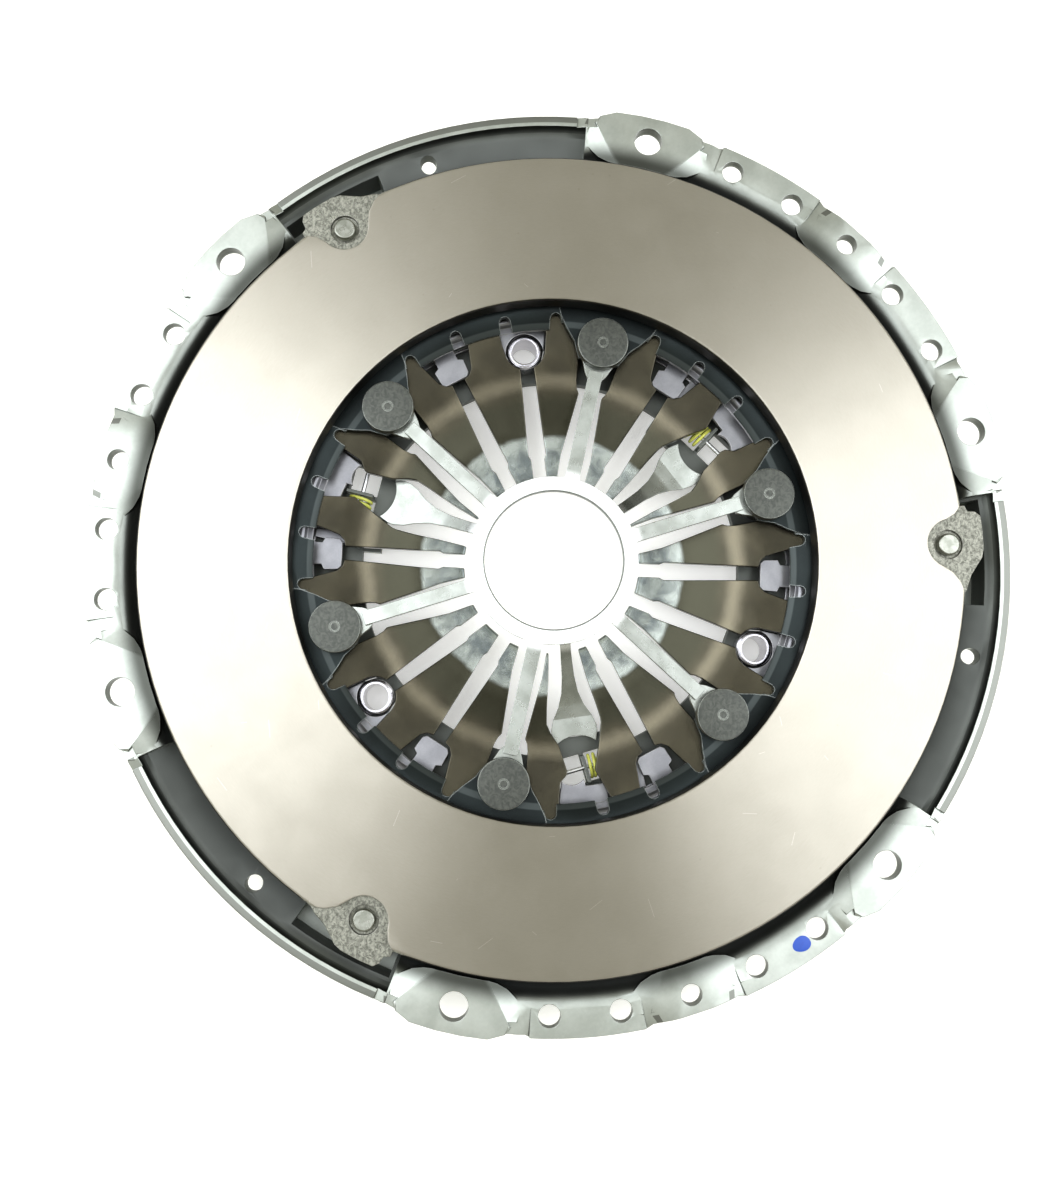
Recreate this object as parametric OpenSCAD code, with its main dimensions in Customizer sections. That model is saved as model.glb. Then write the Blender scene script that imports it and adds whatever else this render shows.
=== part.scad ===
// Self-adjusting diaphragm-spring clutch cover, seen from the flywheel side.
// Millimetres. Z is the clutch axis, +Z points to the flywheel, z = 0 is the mounting face of the flange.

/* [Clutch] */
// Outer diameter of the friction face
face_d = 240; // [200:2:280]
// Radial distance from the inner edge of a flange pad to the bolt circle
bolt_in = 8.7; // [8:0.1:10]
// Diameter of a flange bolt hole
bolt_hole_d = 8.3; // [6:0.1:11]
// Diameter of a hole in a flange land
land_hole_d = 6.4; // [4:0.1:8]
// Diameter of the pin hole in the middle of a flange segment
mid_hole_d = 6.0; // [4:0.1:8]
// Diameter of the hole in a shoulder between the flange segments
shoulder_hole_d = 4.8; // [3:0.1:7]

/* [Cover] */
// Sheet thickness of the cover
sheet_t = 3.4; // [2.5:0.1:5]
// How far the lands of the flange lie below the bolting face
land_drop = 1.0; // [0.3:0.1:2]
// Radial gap between the pressure plate and the flange
plate_gap = 1.3; // [0.5:0.1:3]
// Depth from the bolting face to the inside of the back wall
inner_depth = 20.5; // [20:0.1:20.9]
// Radius of the central opening in the back wall
opening_r = 58; // [55:0.5:60]

/* [Pressure plate] */
// Radial gap from the spacer bolt heads to the bore of the pressure plate
bore_gap = 2.2; // [1.8:0.1:3]
// Height of the friction face above the bolting face, clutch not mounted
face_up = 3.5; // [1:0.1:5]
// How far the lug rivets lie inside the edge of the friction face
lug_inset = 4; // [3:0.1:5]
// Travel of the pressure plate
lift = 1.8; // [0.5:0.1:1.8]
// Radial gap from the sensor spring to the fulcrum ridge that the diaphragm spring pushes on
fulcrum_gap = 5.5; // [5:0.1:6]

/* [Diaphragm spring] */
// Thickness of the diaphragm spring
dia_t = 2.6; // [2:0.1:2.8]
// How far the diaphragm spring reaches past the fulcrum ridge
dia_lap = 3; // [1.5:0.5:5]
// Radius of the circle of finger tips
tip_r = 26.5; // [25:0.5:28]
// Width of a finger slot near the tips
slot_w = 4.1; // [3:0.1:5]

/* [Sensor spring and support star] */
// Thickness of the sensor spring
sensor_t = 1.7; // [1:0.1:1.8]
// Width of the flat band of the sensor spring
band_w = 7.1; // [6:0.1:7.5]
// Width of a notch of the sensor spring
notch_w = 3.4; // [2:0.1:4]
// Thickness of the support star
star_t = 1.8; // [1:0.1:1.8]
// Inner radius of the ring of the star
star_inner_r = 20.4; // [18:0.1:21]
// Outer radius of the ring of the star
star_outer_r = 24.9; // [24:0.1:26]
// Width of an arm of the star
arm_w = 4.2; // [3:0.1:5]

/* [Spacer bolts] */
// Circle radius of the spacer bolts
spacer_circle_r = 66.6; // [66:0.1:67]
// Diameter of a spacer bolt head
spacer_head_d = 15.2; // [13:0.1:16]
// Height of a spacer bolt head
spacer_head_h = 3.2; // [2:0.1:4]
// Diameter of the spacer bolt shank
spacer_shank_d = 9.8; // [8:0.1:10]

/* [Wear adjuster] */
// Turn of the adjuster ring over the whole wear range, degrees
wear_turn = 11.5; // [5:0.5:11.5]
// Slope of the ramps, degrees
ramp_slope = 5.5; // [3:0.5:5.5]
// Number of ramps round the ring
ramp_n = 12; // [12:1:12]
// Radial gap from the spacer bolts to the two adjuster rings
ring_gap = 1.1; // [0.8:0.1:1.4]
// Radial width of the two adjuster rings
ring_w = 9.4; // [8:0.1:11]
// Gap between the two sets of ramps
ramp_gap = 0.15; // [0.1:0.01:0.2]
// Outer diameter of an adjuster spring
coil_d = 7.6; // [6:0.1:7.8]
// Wire diameter of an adjuster spring
wire_d = 1.0; // [0.8:0.05:1.2]
// Diameter of a guide rod
rod_d = 1.3; // [1:0.1:1.6]

/* [Leaf springs] */
// Thickness of one leaf
leaf_t = 0.65; // [0.4:0.05:0.65]
// Width of a leaf
leaf_w = 14; // [10:0.5:14]

/* [Hidden] */
fit = 0.05;
big = 400;
face_r = face_d / 2;
pad_in_r = face_r + plate_gap;
bolt_r = pad_in_r + bolt_in;
face_inner_r = spacer_circle_r + spacer_head_d / 2 + bore_gap;
lug_circle_r = face_r - lug_inset;
rim_out_r = bolt_r + 5;
back_in_z = -inner_depth;
back_out_z = back_in_z - sheet_t;
ledge_r = opening_r - 5.5;
bay_r = lug_circle_r + 12.8;
bay_bot_z = -14.8;
// the stack under a spacer bolt head, from the top down
head_top_z = -0.6;
eye_top_z = head_top_z - spacer_head_h;
eye_bot_z = eye_top_z - star_t;
sensor_top_z = eye_bot_z;
sensor_bot_z = sensor_top_z - sensor_t;
star_top_z = eye_top_z + 1.5;
star_bot_z = star_top_z - star_t;
neck_r = 3.55;
tenon_r = 3.2;
// diaphragm top surface at its pivot circle, touched by the short teeth of the sensor spring
pivot_r = spacer_circle_r + 5.4;
notch_r = pivot_r + 3.6;
band_in_r = pivot_r + 5.4;
sensor_r = band_in_r + band_w;
fulcrum_r = sensor_r + fulcrum_gap;
dia_r = fulcrum_r + dia_lap;
pivot_z = -9.5;
cone_up = tan(7);
ridge_r = pivot_r + 4;
ridge_z = pivot_z + (ridge_r - pivot_r) * cone_up - dia_t;
fulcrum_z = pivot_z + (fulcrum_r - pivot_r) * cone_up;
// adjuster rings
guide_top_z = -13.6;
guide_bot_z = guide_top_z - 1.8;
base_bot_z = back_in_z + 0.1;
base_top_z = base_bot_z + 1.5;
ring_in_r = spacer_circle_r + spacer_shank_d / 2 + ring_gap;
ring_out_r = ring_in_r + ring_w;
ramp_r = (ring_in_r + ring_out_r) / 2;
ramp_mid_z = -17.2;
ramp_span = 18;
wear_rise = 2 * PI * ramp_r * wear_turn / 360 * tan(ramp_slope);
coil_r = 61.5;
coil_z = -18.3;
coil_turn = -1.3;
coil_y0 = -6.4;
coil_y1 = 6.2;
bush_r = 5.4;
bush_circle_r = ring_in_r - ring_gap - bush_r;
bush_hole_r = 3.8;
bush_top_z = -12.9;
// leaf springs and their rivets
lug_a = 75;
pad_a = 47;
pad_circle_r = lug_circle_r - 5;
lug_top_z = 0.8;
lug_bot_z = -8.5;
leaf_pitch = leaf_t + fit;
seat_z = lug_bot_z - 3 * leaf_pitch;
seat_bot_z = seat_z - sheet_t;
rivet_r = 3;
rivet_hole_r = rivet_r + fit;
tail_r = 4.2;
tail_h = 1.7;

function pol(r, a) = [r * cos(a), r * sin(a)];

$fn = 96;

// solid of revolution between two angles, outline in r and z
module swept(pts, a0 = 0, a1 = 360) {
    rotate([0, 0, a0])
        rotate_extrude(angle = a1 - a0)
            polygon(pts);
}

// upright prism of a plan outline between two heights
module slab(z0, z1) {
    translate([0, 0, z0])
        linear_extrude(height = z1 - z0)
            children();
}

module three() {
    for (k = [0:2])
        rotate([0, 0, 120 * k])
            children();
}

module six() {
    for (k = [0:5])
        rotate([0, 0, 60 * k + 30])
            children();
}

// round hole or pin on a circle
module pin_at(r, a, d, z0, z1) {
    rotate([0, 0, a])
        translate([r, 0, z0])
            cylinder(d = d, h = z1 - z0);
}

// cover

module bowl() {
    swept([
        [ledge_r, back_out_z],
        [face_r - 11.8, back_out_z],
        [face_r - 6, back_out_z + 1.7],
        [pad_in_r + 0.1, -15.5],
        [pad_in_r + 4.3, -7],
        [pad_in_r + 5.6, -sheet_t - land_drop],
        [bolt_r + 10, -sheet_t - land_drop],
        [bolt_r + 10, -land_drop],
        [pad_in_r + 6.6, -land_drop],
        [pad_in_r + 4.6, -land_drop - 0.35],
        [pad_in_r + 2.9, -land_drop - 1.3],
        [pad_in_r + 1.7, -land_drop - 2.8],
        [pad_in_r + 0.9, -land_drop - 4.8],
        [face_r - 1.8, -14],
        [face_r - 8, back_in_z + 1.3],
        [face_r - 13, back_in_z],
        [ledge_r, back_in_z]
    ]);
}

// outline of the flange lands of one segment, with the tapering ends
module land_plan() {
    polygon(concat(
        [pol(face_r - 20, -38.55), pol(face_r - 20, 38.55)],
        [pol(bolt_r + 4.6, 38.55), pol(bolt_r + 5.4, 36.4)],
        [for (a = [34:-2:22]) pol(bolt_r + 5.4, a)],
        [pol(bolt_r + 5.4, 20.9), pol(bolt_r + 6.2, 20.2)],
        [for (a = [18.5:-2:6.5]) pol(bolt_r + 6.2, a)],
        [pol(bolt_r + 6.2, 6.2), pol(bolt_r + 5.3, 5.4)],
        [for (a = [4:-2:-4]) pol(bolt_r + 5.3, a)],
        [pol(bolt_r + 5.3, -5.4), pol(bolt_r + 6.2, -6.2)],
        [for (a = [-6.5:-2:-18.5]) pol(bolt_r + 6.2, a)],
        [pol(bolt_r + 6.2, -20.2), pol(bolt_r + 5.4, -20.9)],
        [for (a = [-22:-2:-34]) pol(bolt_r + 5.4, a)],
        [pol(bolt_r + 5.4, -36.4), pol(bolt_r + 4.6, -38.55)]
    ));
}

// raised pad round a flange bolt hole
module tab_plan() {
    polygon([
        pol(pad_in_r, -3), pol(pad_in_r + 0.05, 0), pol(pad_in_r, 3),
        pol(bolt_r - 3, 5.6), pol(bolt_r + 3.6, 7.3), pol(bolt_r + 5.5, 6.7),
        pol(bolt_r + 7.3, 4.7), pol(bolt_r + 7.5, 1.6), pol(bolt_r + 7.5, -1.6),
        pol(bolt_r + 7.3, -4.7), pol(bolt_r + 5.5, -6.7), pol(bolt_r + 3.6, -7.3), pol(bolt_r - 3, -5.6)
    ]);
    // the flanks, inside the outline of the lands
    for (s = [-1, 1])
        polygon([pol(pad_in_r, 2 * s), pol(pad_in_r, 3.8 * s), pol(pad_in_r + 0.5, 5 * s),
            pol(pad_in_r + 1.8, 6.4 * s), pol(pad_in_r + 4, 7.6 * s), pol(bolt_r - 2.3, 8.3 * s),
            pol(bolt_r + 2, 8 * s), pol(bolt_r + 2.1, 4 * s)]);
}

// raised pad in the middle of a segment
module mid_plan() {
    polygon([
        pol(pad_in_r, -2.4), pol(pad_in_r + 0.05, 0), pol(pad_in_r, 2.4),
        pol(bolt_r - 3, 4.6), pol(bolt_r + 5.3, 5.8), pol(bolt_r + 5.4, 2),
        pol(bolt_r + 5.4, -2), pol(bolt_r + 5.3, -5.8), pol(bolt_r - 3, -4.6)
    ]);
    for (s = [-1, 1])
        polygon([pol(pad_in_r, 1.5 * s), pol(pad_in_r, 3.2 * s), pol(pad_in_r + 0.5, 4.4 * s),
            pol(pad_in_r + 1.8, 5.8 * s), pol(pad_in_r + 4, 7 * s), pol(bolt_r - 2.3, 7.7 * s),
            pol(bolt_r + 2, 7.4 * s), pol(bolt_r + 2.1, 3 * s)]);
}

// room above a plane that falls by slope degrees in the direction dir from the point p
module above_fall(p, dir, slope) {
    translate(p)
        rotate([0, slope, dir])
            translate([-30, -30, 0])
                cube([60, 60, 20]);
}

// pad of a segment, its two flanks falling to the fillet of the flange
module pad(edge, dir, slope) {
    difference() {
        slab(-sheet_t, 0)
            children();
        for (m = [0, 1])
            mirror([0, m, 0])
                above_fall(concat(edge, 0), dir, slope);
    }
}

// saddle pressed in beside a pad, up to the step of the next land
module saddle(corner, dir, slope, end) {
    for (m = [0, 1])
        mirror([0, m, 0])
            intersection() {
                above_fall(corner, dir, slope);
                swept([[bolt_r - 5, -5], [bolt_r + 15, -5], [bolt_r + 15, 2], [bolt_r - 5, 2]], 0.5, end);
            }
}

// shoulder with a turned-up rim between two flange segments
module shoulder() {
    swept([
        [pad_in_r - 1.6, -14.6],
        [pad_in_r - 0.1, -8.8],
        [rim_out_r - 5.2, -4.6],
        [rim_out_r - 3.7, -3.0],
        [rim_out_r - 3.1, -0.9],
        [rim_out_r - 0.3, -0.9],
        [rim_out_r, -1.3],
        [rim_out_r, -4.6],
        [rim_out_r - 1.4, -7.0],
        [rim_out_r - 4, -8.4],
        [pad_in_r + 4.0, -11.4],
        [pad_in_r - 0.3, -15.2]
    ], 38.2, 81.8);
}

// room for a lug in the wall of the bowl
module lug_bay() {
    swept([
        [lug_circle_r - 4, bay_bot_z],
        [bay_r, bay_bot_z],
        [bay_r, 0.5],
        [lug_circle_r - 4, 0.5]
    ], lug_a - 8, lug_a + 6.2);
}

// frame of sheet pressed out round the room for a lug, its inner edge hidden in the wall
module bay_frame() {
    difference() {
        swept([
            [lug_circle_r + 0.5, bay_bot_z - 3],
            [bay_r + 3, bay_bot_z - 3],
            [bay_r + 3, -8],
            [lug_circle_r + 8, -8],
            [lug_circle_r + 3.5, bay_bot_z]
        ], lug_a - 9.5, lug_a + 7.7);
        swept([[rim_out_r + 1, -20], [rim_out_r - 3, -5], [rim_out_r + 4, -5]], 60, 90);
    }
}

// raised seat for the fixed end of a leaf pack, pressed up from the back wall
module leaf_seat() {
    swept([
        [pad_circle_r - 11, back_in_z - 1.6],
        [pad_circle_r - 9.6, seat_z],
        [pad_circle_r + 10.4, seat_z],
        [pad_circle_r + 8.9, -14.9],
        [pad_circle_r + 2, -20.7],
        [pad_circle_r - 3.5, back_in_z - 1.6]
    ], pad_a - 6.5, pad_a + 6.5);
}

module leaf_seat_hollow() {
    swept([
        [pad_circle_r - 7.4, back_out_z - 1],
        [pad_circle_r - 6.4, seat_bot_z],
        [pad_circle_r + 6.6, seat_bot_z],
        [pad_circle_r + 6.6, back_out_z - 1]
    ], pad_a - 4.6, pad_a + 4.6);
}

module cover() {
    color([0.72, 0.71, 0.68])
    difference() {
        union() {
            difference() {
                bowl();
                // outline of the flange
                difference() {
                    slab(-6, 1)
                        circle(r = bolt_r + 20);
                    three()
                        slab(-7, 2)
                            land_plan();
                }
                // the bowl ends lower in the three shoulders
                three()
                    swept([[face_r - 10, -9.3], [bolt_r + 30, -9.3], [bolt_r + 30, 4], [face_r - 10, 4]],
                        38.4, 81.6);
                // central opening, with a ledge left below each adjuster spring
                three()
                    swept([[ledge_r - 4, -30], [opening_r, -30], [opening_r, -18], [ledge_r - 4, -18]],
                        8, 103);
            }
            three() {
                shoulder();
                leaf_seat();
                pad(pol(pad_in_r, 2.4), 122.6, 13)
                    mid_plan();
                for (a = [-30, 30])
                    rotate([0, 0, a])
                        pad(pol(pad_in_r, 3), 133, 14)
                            tab_plan();
                bay_frame();
                // tongues that hold an adjuster spring and its guide rod
                rotate([0, 0, coil_turn]) {
                    translate([57.8, coil_y0 - 1.2, back_in_z - 0.8])
                        cube([8.2, 1, 6.7]);
                    translate([58.4, -17.6, back_in_z - 0.5])
                        cube([5.4, 1.4, 6.4]);
                }
            }
        }
        three() {
            lug_bay();
            leaf_seat_hollow();
            saddle([bolt_r + 5.2, 7.55, -0.1], 75.3, 13, 6.3);
            for (a = [-30, 30])
                rotate([0, 0, a])
                    saddle([bolt_r + 4.6, 15.8, 0], 79.2, 15.8, 9.6);
            for (a = [-18, -9, 9, 18])
                pin_at(bolt_r, a, land_hole_d, -6, 2);
            pin_at(bolt_r, 0, mid_hole_d, -6, 2);
            pin_at(bolt_r - 2.9, 60, shoulder_hole_d, -18, 2);
            pin_at(pad_circle_r, pad_a, 2 * rivet_hole_r, -20, 0);
            // bores of the sight bushes
            pin_at(bush_circle_r, 50, 2 * (bush_hole_r + 0.8 + fit), back_out_z - 2, back_in_z + 2);
            // slot below an adjuster spring, and the hole for its guide rod
            rotate([0, 0, coil_turn]) {
                translate([57.3, -16, back_out_z - 1])
                    cube([8.9, 16 + coil_y0 - 1.5, sheet_t + 2]);
                translate([57.3, coil_y0 - 0.1, back_out_z - 1])
                    cube([8.9, coil_y1 - coil_y0 + 0.2, sheet_t + 2]);
                translate([coil_r, -30, coil_z])
                    rotate([-90, 0, 0])
                        cylinder(d = rod_d + 0.3, h = 25, $fn = 48);
            }
        }
        six() {
            pin_at(bolt_r, 0, bolt_hole_d, -8, 2);
            pin_at(spacer_circle_r, 0, 2 * (tenon_r + fit), back_out_z - 2, back_in_z + 2);
        }
        // ventilation windows in the back wall
        for (k = [0:5])
            rotate([0, 0, 60 * k]) {
                swept([[86.5, -30], [98.5, -30], [98.5, -18], [86.5, -18]], -7, 7);
                for (a = [-7, 7])
                    pin_at(92.5, a, 12.4, -30, -18);
            }
    }
}

// pressure plate

module lug_plan(rim) {
    translate(pol(lug_circle_r, lug_a))
        rotate(lug_a) {
            circle(r = 7.1 + rim);
            polygon([
                [-1.5, 6.9 + rim], [1.5, 8.6 + rim], [3.6, 11.4 + rim], [5.6, 11.4], [6.4, 9.7],
                [8.6, 9.5], [10.2, 8.2], [10.5, 4], [10.5, -1.5], [9.8, -4.2], [6.2, -9.4],
                [4.9, -13], [3.3, -15.4 - rim], [1.8, -11.2 - rim], [-0.2, -8.4 - rim], [-2.8, -6.6 - rim]
            ]);
        }
}

module pressure_plate() {
    color([0.62, 0.6, 0.55])
    difference() {
        union() {
            difference() {
                swept([
                    [face_inner_r + 0.6, face_up],
                    [face_r - 0.7, face_up],
                    [face_r, face_up - 0.7],
                    [face_r, -3.7],
                    [face_r - 1, -4.5],
                    [fulcrum_r + 8, -4.5],
                    [fulcrum_r + 6.5, -5.8],
                    [fulcrum_r + 2.6, -5.8],
                    [fulcrum_r + 1.3, fulcrum_z + 0.3],
                    [fulcrum_r + 0.6, fulcrum_z + 0.6 * cone_up + fit],
                    [fulcrum_r - 0.6, fulcrum_z - 0.6 * cone_up + fit],
                    [fulcrum_r - 1.3, fulcrum_z + 0.3],
                    [fulcrum_r - 2.2, -5.2],
                    [fulcrum_r - 3.6, -3.6],
                    [face_inner_r + 1, sensor_top_z + lift + 0.3],
                    [face_inner_r, sensor_top_z + lift + 0.8],
                    [face_inner_r, face_up - 0.6]
                ]);
                three()
                    slab(lug_top_z, face_up + 2)
                        lug_plan(0.01);
                // cooling gaps through the fulcrum ridge
                for (k = [0:11])
                    rotate([0, 0, 30 * k + 15])
                        translate([fulcrum_r - 6, -4, -12])
                            cube([12, 8, 6.2]);
            }
            three()
                slab(lug_bot_z, lug_top_z)
                    lug_plan(0);
        }
        three() {
            pin_at(lug_circle_r, lug_a, 2 * rivet_hole_r, -12, 4);
            pin_at(lug_circle_r, lug_a, 8.4, lug_top_z - 1.2, 4);
        }
    }
}

module lug_rivets() {
    color([0.75, 0.74, 0.7])
    three()
        rotate([0, 0, lug_a])
            translate([lug_circle_r, 0, 0])
                swept([[0, lug_top_z + 0.8], [2.8, lug_top_z + 0.8], [3.2, lug_top_z + 0.4],
                    [3.2, lug_top_z - 1.2], [rivet_r, lug_top_z - 1.2], [rivet_r, seat_z + fit],
                    [tail_r, seat_z + fit], [tail_r, seat_z - 0.9], [tail_r - 0.8, seat_z + fit - tail_h],
                    [0, seat_z + fit - tail_h]]);
}

// diaphragm spring

module plain_slot(a) {
    rotate(a)
        polygon([[15, -slot_w / 2], [33, -slot_w / 2], [34.3, -slot_w / 2 - 0.65], [63.5, -1.95],
            [63.5, 1.95], [34.3, slot_w / 2 + 0.65], [33, slot_w / 2], [15, slot_w / 2]]);
}

module t_pocket(a) {
    polygon([pol(62.2, a - 1.8), pol(62.8, a - 3.6), pol(64.4, a - 4.8), pol(71.4, a - 6.2),
        pol(76.2, a - 6.4), pol(77.4, a - 5.6), pol(77.6, a), pol(77.4, a + 5.6), pol(76.2, a + 6.4),
        pol(71.4, a + 6.2),
        pol(64.4, a + 4.8), pol(62.8, a + 3.6), pol(62.2, a + 1.8)]);
}

module round_pocket(a) {
    translate(pol(bush_circle_r + 0.2, a))
        circle(r = 6.2);
    polygon([pol(65.4, a - 5.35), pol(71, a - 5.7), pol(76.2, a - 5.8), pol(77.4, a - 5), pol(77.6, a),
        pol(77.4, a + 5), pol(76.2, a + 5.8), pol(71, a + 5.7), pol(65.4, a + 5.35)]);
}

module bolt_gap(a) {
    rotate(a)
        polygon([[15, -4.1], [27, -4.3], [34, -4.7], [53, -3.55], [54.2, -4.4], [56.4, -5.1], [62.5, -5.85],
            [70.2, -7.5], [75.6, -8.2], [77.2, -7.2], [77.6, 0], [77.2, 7.2], [75.6, 8.2], [70.2, 7.5],
            [62.5, 5.85], [56.4, 5.1], [54.2, 4.4], [53, 3.55], [34, 4.7], [27, 4.3], [15, 4.1]]);
}

module spring_window(a) {
    rotate(a)
        polygon([[15, -4], [27, -4.6], [35, -5.8], [43, -7.4], [47.4, -8.1], [50, -7.4], [54, -5.5],
            [61.6, -4.1], [63, -4.4], [65, -6.6], [72, -8.1], [76, -8.4], [77.4, -7.4], [77.6, 0],
            [77.4, 7.4], [76, 8.4],
            [72, 7.9], [64.5, 4.9], [62.6, 4.1], [56, 6.2], [49, 8.1], [47.4, 8.1], [43, 7.4], [35, 5.8],
            [27, 4.6], [15, 4]]);
}

module dia_blank() {
    swept([
        [dia_r, pivot_z + (dia_r - pivot_r) * cone_up - 0.5],
        [dia_r - 0.5, pivot_z + (dia_r - 0.5 - pivot_r) * cone_up],
        [pivot_r, pivot_z],
        [64, pivot_z - 0.75],
        [58, -11.1],
        [52, -12.3],
        [44, -14.4],
        [40, -15.4],
        [34, -15.9],
        [28.5, -16.1],
        [tip_r + 0.4, -16.4],
        [tip_r, -17],
        [tip_r + 0.3, -18.2],
        [28, -16.2 - dia_t],
        [34, -16.0 - dia_t],
        [40.5, -15.4 - dia_t],
        [44.5, -14.5 - dia_t],
        [52.3, -12.4 - dia_t],
        [58.2, -11.2 - dia_t],
        [64.2, pivot_z - 0.75 - dia_t],
        [pivot_r + 0.2, pivot_z - dia_t],
        [dia_r - 0.3, pivot_z + (dia_r - pivot_r) * cone_up - dia_t],
        [dia_r, pivot_z + (dia_r - pivot_r) * cone_up - dia_t + 0.5]
    ]);
}

module diaphragm_spring() {
    color([0.42, 0.37, 0.31])
    difference() {
        dia_blank();
        three()
            slab(-30, 0) {
                plain_slot(10);
                t_pocket(10);
                bolt_gap(30);
                plain_slot(50);
                round_pocket(50);
                plain_slot(70);
                t_pocket(70);
                bolt_gap(90);
                spring_window(-9.6);
            }
    }
}

// sensor spring

module sensor_notch(a) {
    rotate(a) {
        translate([notch_r - notch_w / 2, 0])
            circle(d = notch_w);
        polygon([[60, -notch_w / 2 - 0.5], [notch_r - notch_w / 2, -notch_w / 2],
            [notch_r - notch_w / 2, notch_w / 2], [60, notch_w / 2 + 0.5]]);
    }
}

module sensor_spring() {
    color([0.16, 0.2, 0.21])
    difference() {
        union() {
            // ring with a rolled inner edge and short teeth that press on the diaphragm spring
            swept([
                [sensor_r, sensor_top_z - 0.2],
                [band_in_r, sensor_top_z],
                [notch_r, sensor_top_z - 0.35],
                [pivot_r + 1.4, sensor_top_z - 1.5],
                [pivot_r - 0.5, pivot_z + 1.1],
                [pivot_r - 0.7, pivot_z + 0.5],
                [pivot_r - 0.4, pivot_z + 0.02],
                [pivot_r + 1, pivot_z + 0.25],
                [pivot_r + 2.4, sensor_bot_z - 1.3],
                [pivot_r + 4, sensor_bot_z - 0.35],
                [band_in_r + 0.2, sensor_bot_z],
                [sensor_r, sensor_bot_z - 0.2]
            ]);
            // flat teeth held by the spacer bolts
            six()
                slab(sensor_bot_z, sensor_top_z)
                    polygon([pol(78.5, -11.4), pol(78.5, 0), pol(78.5, 11.4), pol(74.6, 10.7), pol(71, 9.3),
                        pol(67.2, 7.2), pol(64.2, 6.3), pol(62.4, 5.6), pol(61.6, 3.6), pol(61.2, 0),
                        pol(61.6, -3.6), pol(62.4, -5.6), pol(64.2, -6.3), pol(67.2, -7.2), pol(71, -9.3),
                        pol(74.6, -10.7)]);
        }
        six() {
            // the rolled edge is left out where a bolt tooth starts
            difference() {
                slab(-12, sensor_bot_z)
                    polygon([pol(60, -10.4), pol(60, 10.4), pol(77.2, 10.4), pol(77.2, -10.4)]);
            }
            slab(-12, -2) {
                sensor_notch(12);
                sensor_notch(-12);
                sensor_notch(24);
                sensor_notch(-24);
            }
            pin_at(spacer_circle_r, 0, 2 * (neck_r + fit), -12, -2);
        }
    }
}

// support star

module star_tongue() {
    difference() {
        intersection() {
            rotate([90, 0, 0])
                translate([0, 0, -20])
                    linear_extrude(height = 40)
                        polygon([[star_inner_r + 0.3, star_bot_z + 0.5], [24.4, star_bot_z + 0.5],
                            [24.9, star_bot_z], [30, -8.2], [36, -12.0], [42, -14.8], [46.6, -15.9],
                            [60, -16.2], [60, -17.8], [46.2, -17.5], [41.2, -16.3], [35, -13.6],
                            [28.9, -9.6], [23.8, star_bot_z - 1.6], [star_inner_r + 0.3, star_bot_z - 1.6]]);
            slab(-30, 0)
                polygon([[15, -1.55], [27, -1.55], [34, -1.8], [39, -2.5], [43, -3.9], [46.5, -5.9],
                    [49.5, -6.9], [51.2, -6.9], [54.6, -6], [54.6, 6], [51.2, 6.9], [49.5, 6.9], [46.5, 5.9],
                    [43, 3.9], [39, 2.5], [34, 1.8], [27, 1.55], [15, 1.55]]);
        }
        translate([61.6, 0, -30])
            cylinder(r = 9.6, h = 30);
    }
}

module support_star() {
    color([0.8, 0.8, 0.78])
    difference() {
        union() {
            slab(star_bot_z, star_top_z)
                difference() {
                    union() {
                        circle(r = star_outer_r);
                        six()
                            polygon([[star_inner_r + 1, -arm_w / 2], [58.1, -arm_w / 2], [58.1, arm_w / 2],
                                [star_inner_r + 1, arm_w / 2]]);
                    }
                    circle(r = star_inner_r);
                }
            // the eyes lie lower, under the bolt heads
            slab(eye_bot_z, eye_top_z)
                six() {
                    polygon([[56.2, -arm_w / 2 - 0.3], [57.6, -3.3], [63, -5.5], [63, 5.5], [57.6, 3.3],
                        [56.2, arm_w / 2 + 0.3]]);
                    translate([spacer_circle_r, 0])
                        circle(r = 6.8);
                }
            three()
                rotate([0, 0, -9.6])
                    star_tongue();
        }
        six()
            pin_at(spacer_circle_r, 0, 2 * (neck_r + fit), -12, 0);
    }
}

// spacer bolts, their back ends riveted over the cover

module spacer_bolts() {
    color([0.45, 0.46, 0.42])
    six()
        translate([spacer_circle_r, 0, 0])
            swept([[0, head_top_z], [spacer_head_d / 2 - 0.5, head_top_z],
                [spacer_head_d / 2, head_top_z - 0.5], [spacer_head_d / 2, eye_top_z + 0.3],
                [spacer_head_d / 2 - 0.3, eye_top_z], [neck_r, eye_top_z],
                [neck_r, sensor_bot_z], [spacer_shank_d / 2, sensor_bot_z], [spacer_shank_d / 2, back_in_z],
                [tenon_r, back_in_z], [tenon_r, back_out_z], [5.4, back_out_z], [5.4, back_out_z - 0.8],
                [4.2, back_out_z - 1.8], [0, back_out_z - 1.8]]);
}

// wear adjuster

// one ramp wedge between a flat face and the sloping plane
module wedge(lower) {
    intersection() {
        if (lower) {
            swept([[ring_in_r + 0.5, base_top_z - 0.2], [ring_out_r - 0.5, base_top_z - 0.2],
                [ring_out_r - 0.5, -14], [ring_in_r + 0.5, -14]], -ramp_span / 2, ramp_span / 2);
        } else {
            swept([[ring_in_r + 0.5, -20], [ring_out_r - 0.5, -20], [ring_out_r - 0.5, guide_bot_z + 0.2],
                [ring_in_r + 0.5, guide_bot_z + 0.2]], -ramp_span / 2, ramp_span / 2);
        }
        translate([ramp_r, 0, ramp_mid_z - (lower ? ramp_gap / 2 : -ramp_gap / 2)])
            rotate([-ramp_slope, 0, 0])
                translate([-20, -40, lower ? -20 : 0])
                    cube([40, 80, 20]);
    }
}

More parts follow.
